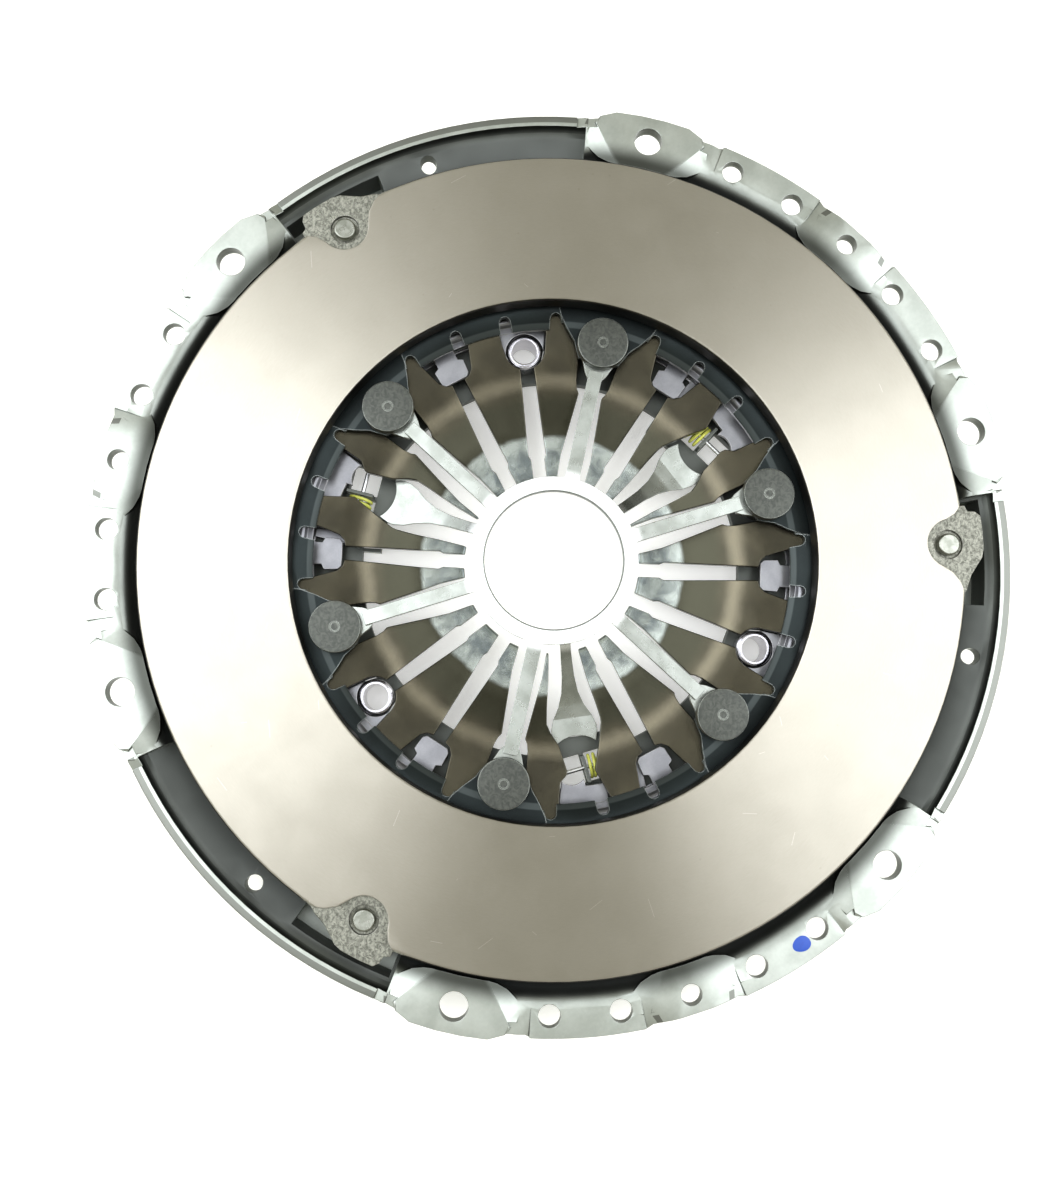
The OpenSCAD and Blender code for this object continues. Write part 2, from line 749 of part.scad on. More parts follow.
module adjuster_ring() {
    color([0.58, 0.55, 0.62])
    union() {
        swept([[ring_in_r, base_bot_z], [ring_out_r, base_bot_z], [ring_out_r, base_top_z],
            [ring_in_r, base_top_z]]);
        for (k = [0:ramp_n - 1])
            rotate([0, 0, 360 / ramp_n * k])
                wedge(true);
        // drivers pushed by the adjuster springs
        three()
            rotate([0, 0, coil_turn])
                translate([58.4, coil_y1 + 0.1, base_bot_z + 0.15]) {
                    cube([13.5, 2.6, 4.1]);
                    cube([17, 2.6, 1.2]);
                }
    }
}

module pivot_ring() {
    color([0.62, 0.58, 0.66])
    difference() {
        union() {
            swept([[ring_in_r, guide_bot_z], [ring_out_r, guide_bot_z], [ring_out_r, guide_top_z],
                [ridge_r + 1.6, guide_top_z], [ridge_r + 1.1, ridge_z - 0.6],
                [ridge_r + 0.4, ridge_z - 0.08], [ridge_r - 0.4, ridge_z - 0.12],
                [ridge_r - 1.1, ridge_z - 0.6], [ridge_r - 1.6, guide_top_z],
                [ring_in_r, guide_top_z]]);
            for (k = [0:ramp_n - 1])
                rotate([0, 0, 360 / ramp_n * k])
                    wedge(false);
            three()
                slab(guide_bot_z + 0.1, guide_top_z - 0.1) {
                    // guide tabs seen through the T-shaped finger slots
                    for (a = [10, 70])
                        rotate(a) {
                            polygon([
                                [ring_in_r - 8.2, -4.6], [ring_in_r - 9.2, -3.6], [ring_in_r - 9.2, 3.6],
                                [ring_in_r - 8.2, 4.6], [ring_in_r - 4, 4.9], [ring_in_r - 3.2, 3.4],
                                [ring_in_r + 1.4, 3.4], [ring_in_r + 1.4, -3.4], [ring_in_r - 3.2, -3.4],
                                [ring_in_r - 4, -4.9]]);
                        }
                    // forks round the sight bushes keep the ring from turning
                    polygon([
                        pol(ring_in_r - 10, 45.6), pol(ring_in_r - 6.6, 44.8), pol(ring_in_r + 1.4, 44.2),
                        pol(ring_in_r + 1.8, 50), pol(ring_in_r + 1.4, 55.8), pol(ring_in_r - 6.6, 55.2),
                        pol(ring_in_r - 10, 54.4)]);
                    // plates beside the adjuster springs
                    polygon([
                        pol(ring_in_r - 10.2, -14.5), pol(ring_in_r + 1.4, -16), pol(ring_in_r + 1.8, -10),
                        pol(ring_in_r + 1.4, -3.8), pol(ring_in_r - 5.2, -3.8), pol(ring_in_r - 5.6, -8.8),
                        pol(ring_in_r - 10.2, -9.1)]);
                }
        }
        three() {
            pin_at(bush_circle_r, 50, 2 * (bush_r + 0.35), -20, -10);
            slab(-20, -10)
                polygon([pol(bush_circle_r - 8.1, 46.6), pol(bush_circle_r - 2.1, 47.4),
                    pol(bush_circle_r - 2.1, 52.6), pol(bush_circle_r - 8.1, 53.4)]);
            pin_at(61.6, -12, 9.6, -20, -10);
        }
    }
}

module sight_bushes() {
    color([0.8, 0.79, 0.8])
    three()
        rotate([0, 0, 50])
            translate([bush_circle_r, 0, 0])
                swept([[bush_hole_r, back_out_z], [bush_hole_r + 0.8, back_out_z],
                    [bush_hole_r + 0.8, back_in_z], [bush_r, back_in_z], [bush_r, bush_top_z - 0.6],
                    [bush_r - 0.5, bush_top_z - 0.3],
                    [bush_hole_r + 0.9, bush_top_z - 0.3], [bush_hole_r + 0.9, bush_top_z],
                    [bush_hole_r, bush_top_z]]);
}

// compression spring with closed ends, wound along Y
module coil(y0, y1, r, w, turns) {
    seg = 20;
    nw = 8;
    n = round(seg * turns);
    ring = [for (i = [0:n]) let (
        t = i / n,
        a = 360 * turns * t,
        e = 1 / turns,
        s = t < e ? t * 0.55 :
            (t > 1 - e ? 1 - (1 - t) * 0.55 : 0.55 * e + (t - e) * (1 - 1.1 * e) / (1 - 2 * e)),
        y = y0 + w / 2 + (y1 - y0 - w) * s)
        for (j = [0:nw - 1]) let (b = 360 * j / nw)
            [(r + w / 2 * cos(b)) * cos(a), y + w / 2 * sin(b), (r + w / 2 * cos(b)) * sin(a)]];
    faces = concat(
        [[for (j = [nw - 1:-1:0]) j]],
        [for (i = [0:n - 1], j = [0:nw - 1])
            [i * nw + j, i * nw + (j + 1) % nw, (i + 1) * nw + (j + 1) % nw, (i + 1) * nw + j]],
        [[for (j = [0:nw - 1]) n * nw + j]]);
    polyhedron(points = ring, faces = [for (f = faces) [for (k = [len(f) - 1:-1:0]) f[k]]], convexity = 8);
}

module adjuster_spring(k) {
    color([0.85, 0.85, 0.4])
    rotate([0, 0, 120 * k + coil_turn])
        translate([coil_r, 0, coil_z])
            coil(coil_y0, coil_y1, (coil_d - wire_d) / 2, wire_d, 6.5);
}

module guide_rod(k) {
    color([0.8, 0.8, 0.8])
    rotate([0, 0, 120 * k + coil_turn])
        translate([coil_r, -18.4, coil_z])
            rotate([-90, 0, 0])
                union() {
                    cylinder(d = rod_d, h = 18.4 + coil_y1 - 0.6, $fn = 48);
                    cylinder(d = 2.8, h = 0.7, $fn = 48);
                }
}

// leaf springs

module leaf_plan() {
    p1 = pol(lug_circle_r, lug_a);
    p2 = pol(pad_circle_r, pad_a);
    d = norm(p2 - p1);
    translate(p1)
        rotate(atan2(p2[1] - p1[1], p2[0] - p1[0]))
            difference() {
                union() {
                    circle(d = leaf_w);
                    translate([d, 0])
                        circle(d = leaf_w);
                    polygon([[0, -leaf_w / 2], [9, -leaf_w / 2], [17, -leaf_w / 2 + 1.8],
                        [d - 17, -leaf_w / 2 + 1.8], [d - 9, -leaf_w / 2], [d, -leaf_w / 2], [d, leaf_w / 2],
                        [d - 9, leaf_w / 2], [d - 17, leaf_w / 2 - 1.8], [17, leaf_w / 2 - 1.8],
                        [9, leaf_w / 2], [0, leaf_w / 2]]);
                }
                circle(r = rivet_hole_r);
                translate([d, 0])
                    circle(r = rivet_hole_r);
            }
}

module leaf_pack(k) {
    color([0.5, 0.52, 0.56])
    rotate([0, 0, 120 * k])
        for (i = [0:2])
            slab(lug_bot_z - i * leaf_pitch - leaf_t, lug_bot_z - i * leaf_pitch)
                leaf_plan();
}

module cover_rivets() {
    color([0.7, 0.69, 0.66])
    three()
        rotate([0, 0, pad_a])
            translate([pad_circle_r, 0, 0])
                swept([[0, lug_bot_z + 1.5], [3.4, lug_bot_z + 1.5], [4.4, lug_bot_z + 0.9],
                    [4.4, lug_bot_z + 0.4], [rivet_r, lug_bot_z + 0.4], [rivet_r, seat_bot_z],
                    [tail_r, seat_bot_z], [tail_r, seat_bot_z - 0.9], [tail_r - 0.8, seat_bot_z - tail_h],
                    [0, seat_bot_z - tail_h]]);
}

// thin washers between the leaf packs and the cover rivet heads
module seat_washers() {
    color([0.66, 0.66, 0.66])
    three()
        rotate([0, 0, pad_a])
            translate([pad_circle_r, 0, 0])
                swept([[rivet_hole_r, lug_bot_z], [5.6, lug_bot_z], [5.6, lug_bot_z + 0.4],
                    [rivet_hole_r, lug_bot_z + 0.4]]);
}

cover();
pressure_plate();
lug_rivets();
diaphragm_spring();
sensor_spring();
support_star();
spacer_bolts();
adjuster_ring();
pivot_ring();
sight_bushes();
adjuster_spring(0);  // adjuster_spring_1
adjuster_spring(1);  // adjuster_spring_2
adjuster_spring(2);  // adjuster_spring_3
guide_rod(0);  // guide_rod_1
guide_rod(1);  // guide_rod_2
guide_rod(2);  // guide_rod_3
leaf_pack(0);  // leaf_pack_1
leaf_pack(1);  // leaf_pack_2
leaf_pack(2);  // leaf_pack_3
cover_rivets();
seat_washers();
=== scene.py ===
"""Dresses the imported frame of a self-adjusting clutch cover for a studio picture.

Lengths are metres in the part's own frame: Z is the clutch axis, +Z points to the flywheel
and z = 0 is the mounting face of the flange.
"""

import logging
import math
from dataclasses import dataclass
from enum import Enum
from typing import Iterable, Optional, Union

import bmesh
import bpy
from mathutils import Matrix, Vector
from mathutils.bvhtree import BVHTree


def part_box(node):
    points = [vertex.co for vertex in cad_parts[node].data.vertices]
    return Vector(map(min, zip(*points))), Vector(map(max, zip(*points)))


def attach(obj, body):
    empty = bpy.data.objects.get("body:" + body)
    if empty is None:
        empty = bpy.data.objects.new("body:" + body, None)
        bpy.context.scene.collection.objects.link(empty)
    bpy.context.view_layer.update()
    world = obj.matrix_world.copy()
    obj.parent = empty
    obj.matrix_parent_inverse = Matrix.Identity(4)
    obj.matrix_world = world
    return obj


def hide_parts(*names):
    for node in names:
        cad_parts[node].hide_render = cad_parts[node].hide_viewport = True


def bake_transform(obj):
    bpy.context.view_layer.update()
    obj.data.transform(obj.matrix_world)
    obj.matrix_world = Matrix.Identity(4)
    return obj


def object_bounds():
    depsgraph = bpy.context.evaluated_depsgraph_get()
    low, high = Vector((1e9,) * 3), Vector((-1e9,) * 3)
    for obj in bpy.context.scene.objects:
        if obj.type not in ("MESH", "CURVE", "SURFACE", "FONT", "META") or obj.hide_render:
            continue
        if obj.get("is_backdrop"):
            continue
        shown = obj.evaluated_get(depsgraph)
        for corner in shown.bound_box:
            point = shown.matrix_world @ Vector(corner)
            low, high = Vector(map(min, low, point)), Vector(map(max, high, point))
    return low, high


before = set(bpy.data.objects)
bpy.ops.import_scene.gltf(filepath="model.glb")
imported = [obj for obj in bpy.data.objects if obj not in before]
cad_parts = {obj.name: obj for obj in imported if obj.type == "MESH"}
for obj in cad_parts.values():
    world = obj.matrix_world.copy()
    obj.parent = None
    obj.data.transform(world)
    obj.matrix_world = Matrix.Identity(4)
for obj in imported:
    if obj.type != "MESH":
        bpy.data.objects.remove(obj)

MM = 0.001
THIRD = math.radians(120)
LUG_CIRCLE = 116.0 * MM
LUG_ANGLE = math.radians(75)
LOG = logging.getLogger("clutch_cover")

Colour = tuple[float, float, float, float]
Value = Union[float, Colour, Vector, bpy.types.NodeSocket]

WHITE: Colour = (1.0, 1.0, 1.0, 1.0)


class Body(Enum):
    """The bodies of the frame that a piece can ride on."""

    COVER = "cover_body"
    PLATE = "plate_body"
    ADJUSTER = "adjuster_body"
    PIVOT = "pivot_body"


class Slot(Enum):
    """The finish slots of the part."""

    COVER = "cover_steel"
    PLATE = "plate_iron"
    RIVET = "rivet_steel"
    DIAPHRAGM = "peened_spring"
    SENSOR = "dark_spring"
    STAR = "star_steel"
    BOLT = "bolt_phosphate"
    ADJUSTER = "adjuster_steel"
    BUSH = "bush_steel"
    SPRING = "spring_paint"
    ROD = "rod_steel"
    LEAF = "leaf_steel"


def shade(red: int, green: int, blue: int) -> Colour:
    """The linear colour of a paint-box value.

    Args:
        red: The red channel, from 0 to 255.
        green: The green channel, from 0 to 255.
        blue: The blue channel, from 0 to 255.

    Returns:
        The colour, with an alpha of 1.
    """

    def linear(value: int) -> float:
        """One channel on the linear scale."""
        share = value / 255
        return share / 12.92 if share <= 0.04045 else ((share + 0.055) / 1.055) ** 2.4

    return linear(red), linear(green), linear(blue), 1.0


def on_circle(radius: float, angle: float, height: float = 0.0) -> Vector:
    """The point at a radius and an angle in radians round the clutch axis."""
    return Vector((radius * math.cos(angle), radius * math.sin(angle), height))


def thirds(radius: float, angle: float) -> list[Vector]:
    """Three points at a radius, the first at an angle, each a third of a turn from the next."""
    return [on_circle(radius, angle + THIRD * k) for k in range(3)]


class Graph:
    """Places and joins the nodes of one shader tree."""

    def __init__(self, tree: bpy.types.NodeTree) -> None:
        """Starts the tree empty."""
        self.tree = tree
        tree.nodes.clear()

    def feed(self, socket: bpy.types.NodeSocket, value: Value) -> None:
        """Joins a socket to an output, or sets its number.

        Args:
            socket: The input to feed.
            value: An output to join it to, or its number, colour or vector.
        """
        if isinstance(value, bpy.types.NodeSocket):
            self.tree.links.new(value, socket)
        else:
            socket.default_value = value

    def add(self, kind: str, inputs: Optional[dict] = None, **settings: object) -> bpy.types.Node:
        """Adds a node.

        Args:
            kind: The node's type name.
            inputs: What goes into its sockets, by socket name or number.
            settings: The node's own properties.

        Returns:
            The new node.
        """
        node = self.tree.nodes.new(kind)
        for name, value in settings.items():
            setattr(node, name, value)
        for name, value in (inputs or {}).items():
            self.feed(node.inputs[name], value)
        return node

    def math(self, operation: str, first: Value, second: Value = 0.0) -> bpy.types.NodeSocket:
        """The output of one Math node."""
        return self.add("ShaderNodeMath", {0: first, 1: second}, operation=operation).outputs[0]

    def vector(self, operation: str, first: Value, second: Value) -> bpy.types.Node:
        """One Vector Math node."""
        return self.add("ShaderNodeVectorMath", {0: first, 1: second}, operation=operation)

    def mask(self, value: Value, low: float, high: float) -> bpy.types.NodeSocket:
        """A smooth step of value from 0 at low to 1 at high."""
        inputs = {"Value": value, "From Min": low, "From Max": high}
        return self.add("ShaderNodeMapRange", inputs, interpolation_type="SMOOTHSTEP").outputs[0]

    def span(self, value: Value, start: float, end: float) -> bpy.types.NodeSocket:
        """A value from 0 to 1 taken to the range from start to end."""
        inputs = {"Value": value, "To Min": start, "To Max": end}
        return self.add("ShaderNodeMapRange", inputs).outputs[0]

    def mix(self, share: Value, first: Value, second: Value) -> bpy.types.NodeSocket:
        """A colour between two, by share."""
        inputs = {0: share, 6: first, 7: second}
        return self.add("ShaderNodeMix", inputs, data_type="RGBA").outputs[2]

    def place(self) -> bpy.types.NodeSocket:
        """The point on the surface, in the part's frame."""
        return self.add("ShaderNodeTexCoord").outputs["Object"]

    def parts(self, vector: Value) -> bpy.types.Node:
        """A vector split into its three numbers."""
        return self.add("ShaderNodeSeparateXYZ", {0: vector})

    def radius(self, place: Value) -> bpy.types.NodeSocket:
        """The distance of a point from the clutch axis."""
        flat = self.vector("MULTIPLY", place, (1.0, 1.0, 0.0)).outputs[0]
        return self.add("ShaderNodeVectorMath", {0: flat}, operation="LENGTH").outputs["Value"]

    def noise(self, place: Value, scale: Value, detail: float = 3.0,
              rough: float = 0.55) -> bpy.types.NodeSocket:
        """The value of a noise texture."""
        inputs = {"Vector": place, "Scale": scale, "Detail": detail, "Roughness": rough}
        return self.add("ShaderNodeTexNoise", inputs).outputs[0]


class Effect:
    """A shader group that several finishes share, built once, when it is first used.

    Each kind names its group, gives its inputs with their usual values, and wires its nodes.
    """

    name: str
    inputs: dict[str, float]

    @staticmethod
    def wire(graph: Graph, start: bpy.types.Node) -> Value:
        """Builds the group's nodes.

        Args:
            graph: The group's graph.
            start: The node that holds the group's inputs.

        Returns:
            The value that the group puts out.
        """
        raise NotImplementedError

    @classmethod
    def group(cls) -> bpy.types.NodeTree:
        """The group, with float inputs and one float output.

        Returns:
            The group, new or as built before.
        """
        tree = bpy.data.node_groups.get(cls.name)
        if tree is not None:
            return tree
        tree = bpy.data.node_groups.new(cls.name, "ShaderNodeTree")
        for label, usual in cls.inputs.items():
            socket = tree.interface.new_socket(name=label, in_out="INPUT",
                                               socket_type="NodeSocketFloat")
            socket.default_value = usual
        tree.interface.new_socket(name="Value", in_out="OUTPUT", socket_type="NodeSocketFloat")
        graph = Graph(tree)
        start = graph.add("NodeGroupInput")
        graph.add("NodeGroupOutput", {0: cls.wire(graph, start)})
        return tree

    @classmethod
    def put(cls, graph: Graph, **inputs: Value) -> bpy.types.NodeSocket:
        """Places the group in a material.

        Args:
            graph: The material's graph.
            inputs: What goes into its inputs, by name. The others keep their usual values.

        Returns:
            The value that the group puts out.
        """
        node = graph.add("ShaderNodeGroup", node_tree=cls.group())
        for name, value in inputs.items():
            graph.feed(node.inputs[name], value)
        return node.outputs[0]


class EdgeWear(Effect):
    """A mask that is 1 on edges, broken up by noise: where edge wearing, painted edge highlights
    and painted edge shade go.
    """

    name = "edge_wear"
    inputs = {"Radius": 0.4 * MM}

    @staticmethod
    def wire(graph: Graph, start: bpy.types.Node) -> Value:
        """Compares the surface with its rounded self.

        Args:
            graph: The group's graph.
            start: The node that holds its inputs.

        Returns:
            The mask.
        """
        rounded = graph.add("ShaderNodeBevel", {"Radius": start.outputs["Radius"]}, samples=4)
        surface = graph.add("ShaderNodeNewGeometry").outputs["Normal"]
        same = graph.vector("DOT_PRODUCT", rounded.outputs[0], surface).outputs["Value"]
        turned = graph.mask(graph.math("SUBTRACT", 1.0, same), low=0.01, high=0.12)
        broken = graph.mask(graph.noise(graph.place(), 420.0, detail=4.0), low=0.3, high=0.62)
        return graph.math("MULTIPLY", turned, graph.span(broken, start=0.7, end=1.0))


class Grain(Effect):
    """Fine even grain, as of shot-blasting or casting."""

    name = "grain"
    inputs = {"Scale": 1500.0}

    @staticmethod
    def wire(graph: Graph, start: bpy.types.Node) -> Value:
        """One detailed noise."""
        return graph.noise(graph.place(), start.outputs["Scale"], detail=5.0, rough=0.65)


class Patches(Effect):
    """Soft patches of handling marks, oil or temper colour."""

    name = "patches"
    inputs = {"Scale": 60.0}

    @staticmethod
    def wire(graph: Graph, start: bpy.types.Node) -> Value:
        """A noise whose place is shifted by up to 4 mm by a coarser noise.

        Args:
            graph: The group's graph.
            start: The node that holds its inputs.

        Returns:
            The patches, from 0 to 1.
        """
        place = graph.place()
        coarse = graph.math("MULTIPLY", start.outputs["Scale"], 0.5)
        shift = graph.math("MULTIPLY", graph.noise(place, coarse, detail=1.0), 4.0 * MM)
        bent = graph.vector("ADD", place, shift).outputs[0]
        cloud = graph.noise(bent, start.outputs["Scale"], detail=3.0, rough=0.45)
        return graph.mask(cloud, low=0.3, high=0.7)


class TurnedLines(Effect):
    """Fine lines round the clutch axis, as a lathe or a spinning stone leaves."""

    name = "turned_lines"
    inputs = {"Across": 2500.0, "Round": 9.0}

    @staticmethod
    def wire(graph: Graph, start: bpy.types.Node) -> Value:
        """Noise that changes fast along the radius and slowly round the axis.

        Args:
            graph: The group's graph.
            start: The node that holds its inputs.

        Returns:
            The height of the lines, from 0 to 1.
        """
        place = graph.place()
        radius = graph.radius(place)
        length = graph.add("ShaderNodeCombineXYZ", {0: radius, 1: radius, 2: 1.0}).outputs[0]
        way = graph.parts(graph.vector("DIVIDE", place, length).outputs[0])
        along = graph.add("ShaderNodeCombineXYZ", {
            0: graph.math("MULTIPLY", way.outputs[0], start.outputs["Round"]),
            1: graph.math("MULTIPLY", way.outputs[1], start.outputs["Round"]),
            2: graph.math("MULTIPLY", radius, start.outputs["Across"])})
        return graph.noise(along.outputs[0], 1.0, detail=3.0, rough=0.6)


class Scratches(Effect):
    """A mask of straight thin scratches, one at most to a cell, each with its own direction."""

    name = "scratches"
    inputs = {"Scale": 70.0, "Width": 0.05 * MM, "Length": 3.0 * MM, "Share": 0.3}

    @staticmethod
    def wire(graph: Graph, start: bpy.types.Node) -> Value:
        """Draws a short line through the middle of some cells of a flat cell pattern.

        Args:
            graph: The group's graph.
            start: The node that holds its inputs.

        Returns:
            The mask.
        """
        place = graph.place()
        inputs = {"Vector": place, "Scale": start.outputs["Scale"]}
        cells = graph.add("ShaderNodeTexVoronoi", inputs, voronoi_dimensions="2D")
        chance = graph.add("ShaderNodeSeparateColor", {0: cells.outputs["Color"]})
        offset = graph.vector("SUBTRACT", place, cells.outputs["Position"])
        local = graph.parts(offset.outputs[0])
        angle = graph.math("MULTIPLY", chance.outputs[0], math.tau)
        sine, cosine = graph.math("SINE", angle), graph.math("COSINE", angle)
        across = graph.math("SUBTRACT", graph.math("MULTIPLY", local.outputs[0], sine),
                            graph.math("MULTIPLY", local.outputs[1], cosine))
        along = graph.math("ADD", graph.math("MULTIPLY", local.outputs[0], cosine),
                           graph.math("MULTIPLY", local.outputs[1], sine))
        thin = graph.math("LESS_THAN", graph.math("ABSOLUTE", across), start.outputs["Width"])
        reach = graph.math("MULTIPLY", chance.outputs[1], start.outputs["Length"])
        short = graph.math("LESS_THAN", graph.math("ABSOLUTE", along), reach)
        some = graph.math("LESS_THAN", chance.outputs[2], start.outputs["Share"])
        return graph.math("MULTIPLY", graph.math("MULTIPLY", thin, short), some)


class Specks(Effect):
    """A mask of small pits or dust specks, thinly spread."""

    name = "specks"
    inputs = {"Scale": 700.0, "Share": 0.06}

    @staticmethod
    def wire(graph: Graph, start: bpy.types.Node) -> Value:
        """Small discs at the centres of some cells of a cell pattern.

        Args:
            graph: The group's graph.
            start: The node that holds its inputs.

        Returns:
            The mask.
        """
        inputs = {"Vector": graph.place(), "Scale": start.outputs["Scale"]}
        cells = graph.add("ShaderNodeTexVoronoi", inputs)
        away = graph.mask(cells.outputs["Distance"], low=0.05, high=0.12)
        chance = graph.add("ShaderNodeSeparateColor", {0: cells.outputs["Color"]}).outputs[1]
        some = graph.math("LESS_THAN", chance, start.outputs["Share"])
        return graph.math("MULTIPLY", graph.math("SUBTRACT", 1.0, away), some)


@dataclass(frozen=True)
class Finish:
    """A metal finish: its two tones, gloss, grain, patches, and its edge colour, which is edge
    wearing on most finishes, a painted edge highlight on the sensor ring and painted edge shade on
    the cover sheet and the star.
    """

    name: str
    tone: Colour
    second: Colour
    roughness: float = 0.35
    uneven: float = 0.1
    metallic: float = 1.0
    grain: float = 1500.0
    grain_depth: float = 0.25
    relief_height: float = 0.1 * MM
    patch: float = 60.0
    gloss_patch: float = 1.7
    # Edge colour: edge wearing on most finishes, a painted edge highlight on the sensor ring and
    # painted edge shade on the cover sheet and the star. The ground face's scratches take it too.
    worn: Colour = shade(225, 222, 214)
    wear: float = 0.6
    wear_width: float = 0.35 * MM
    anisotropic: float = 0.0
    coat: float = 0.0
    coat_roughness: float = 0.12

    def colour(self, graph: Graph) -> Value:
        """The colour before wear: the two tones, patched and grained.

        Args:
            graph: The material's graph.

        Returns:
            The colour.
        """
        patch = Patches.put(graph, Scale=self.patch)
        grain = Grain.put(graph, Scale=self.grain)
        fine = graph.span(grain, start=-0.5, end=0.5)
        return graph.mix(graph.math("ADD", patch, fine), self.tone, self.second)

    def relief(self, graph: Graph) -> Value:
        """The height that the bump takes."""
        return Grain.put(graph, Scale=self.grain)

    def gloss(self, graph: Graph) -> Value:
        """The roughness, uneven with patches of its own size."""
        patch = Patches.put(graph, Scale=self.patch * self.gloss_patch)
        return graph.span(patch, self.roughness - self.uneven / 2, self.roughness + self.uneven / 2)

    def tangent(self, graph: Graph) -> Optional[Value]:
        """The direction that the gloss is drawn out in, or None."""
        return None

    def material(self) -> bpy.types.Material:
        """Builds the material.

        Returns:
            The material, new or as built before.
        """
        made = bpy.data.materials.get(self.name)
        if made is not None:
            return made
        made = bpy.data.materials.new(self.name)
        made.use_nodes = True
        graph = Graph(made.node_tree)
        shader = graph.add("ShaderNodeBsdfPrincipled")
        # Mixes the edge colour in along the edges: edge wearing, and painted edge highlights and
        # shade on some finishes.
        worn = EdgeWear.put(graph, Radius=self.wear_width)
        share = graph.math("MULTIPLY", worn, self.wear)
        graph.feed(shader.inputs["Base Color"], graph.mix(share, self.colour(graph), self.worn))
        graph.feed(shader.inputs["Roughness"], self.gloss(graph))
        shader.inputs["Metallic"].default_value = self.metallic
        shader.inputs["Anisotropic"].default_value = self.anisotropic
        shader.inputs["Coat Weight"].default_value = self.coat
        shader.inputs["Coat Roughness"].default_value = self.coat_roughness
        bump = graph.add("ShaderNodeBump", {
            "Height": self.relief(graph), "Strength": self.grain_depth,
            "Distance": self.relief_height})
        graph.feed(shader.inputs["Normal"], bump.outputs[0])
        drawn = self.tangent(graph)
        if drawn is not None:
            graph.feed(shader.inputs["Tangent"], drawn)
        graph.add("ShaderNodeOutputMaterial", {"Surface": shader.outputs[0]})
        return made


@dataclass(frozen=True)
class GroundFinish(Finish):
    """The ground friction face: rings of fine lines, with short scratches and small nicks."""

    tint_across: float = 5200.0
    tint_round: float = 60.0
    relief_across: float = 6500.0
    relief_round: float = 90.0
    scratch_share: float = 0.6
    nick_scale: float = 260.0

    def colour(self, graph: Graph) -> Value:
        """The two tones in rings, with bright scratches.

        Args:
            graph: The material's graph.

        Returns:
            The colour.
        """
        rings = TurnedLines.put(graph, Across=self.tint_across, Round=self.tint_round)
        patch = Patches.put(graph, Scale=self.patch)
        tint = graph.math("ADD", graph.span(rings, start=0.1, end=0.9),
                          graph.span(patch, start=-0.12, end=0.12))
        base = graph.mix(tint, self.tone, self.second)
        marks = graph.math("MULTIPLY", Scratches.put(graph), self.scratch_share)
        nicks = Specks.put(graph, Scale=self.nick_scale)
        return graph.mix(nicks, graph.mix(marks, base, self.worn), self.second)

    def relief(self, graph: Graph) -> Value:
        """The grinding lines."""
        return TurnedLines.put(graph, Across=self.relief_across, Round=self.relief_round)

    def tangent(self, graph: Graph) -> Optional[Value]:
        """Across the grinding lines, so that lamps smear along the radius.

        Args:
            graph: The material's graph.

        Returns:
            The direction, in world space.
        """
        flat = graph.vector("MULTIPLY", graph.place(), (1.0, 1.0, 0.0)).outputs[0]
        turned = graph.add("ShaderNodeVectorTransform", {0: flat}, convert_from="OBJECT",
                           convert_to="WORLD").outputs[0]
        return graph.add("ShaderNodeVectorMath", {0: turned}, operation="NORMALIZE").outputs[0]


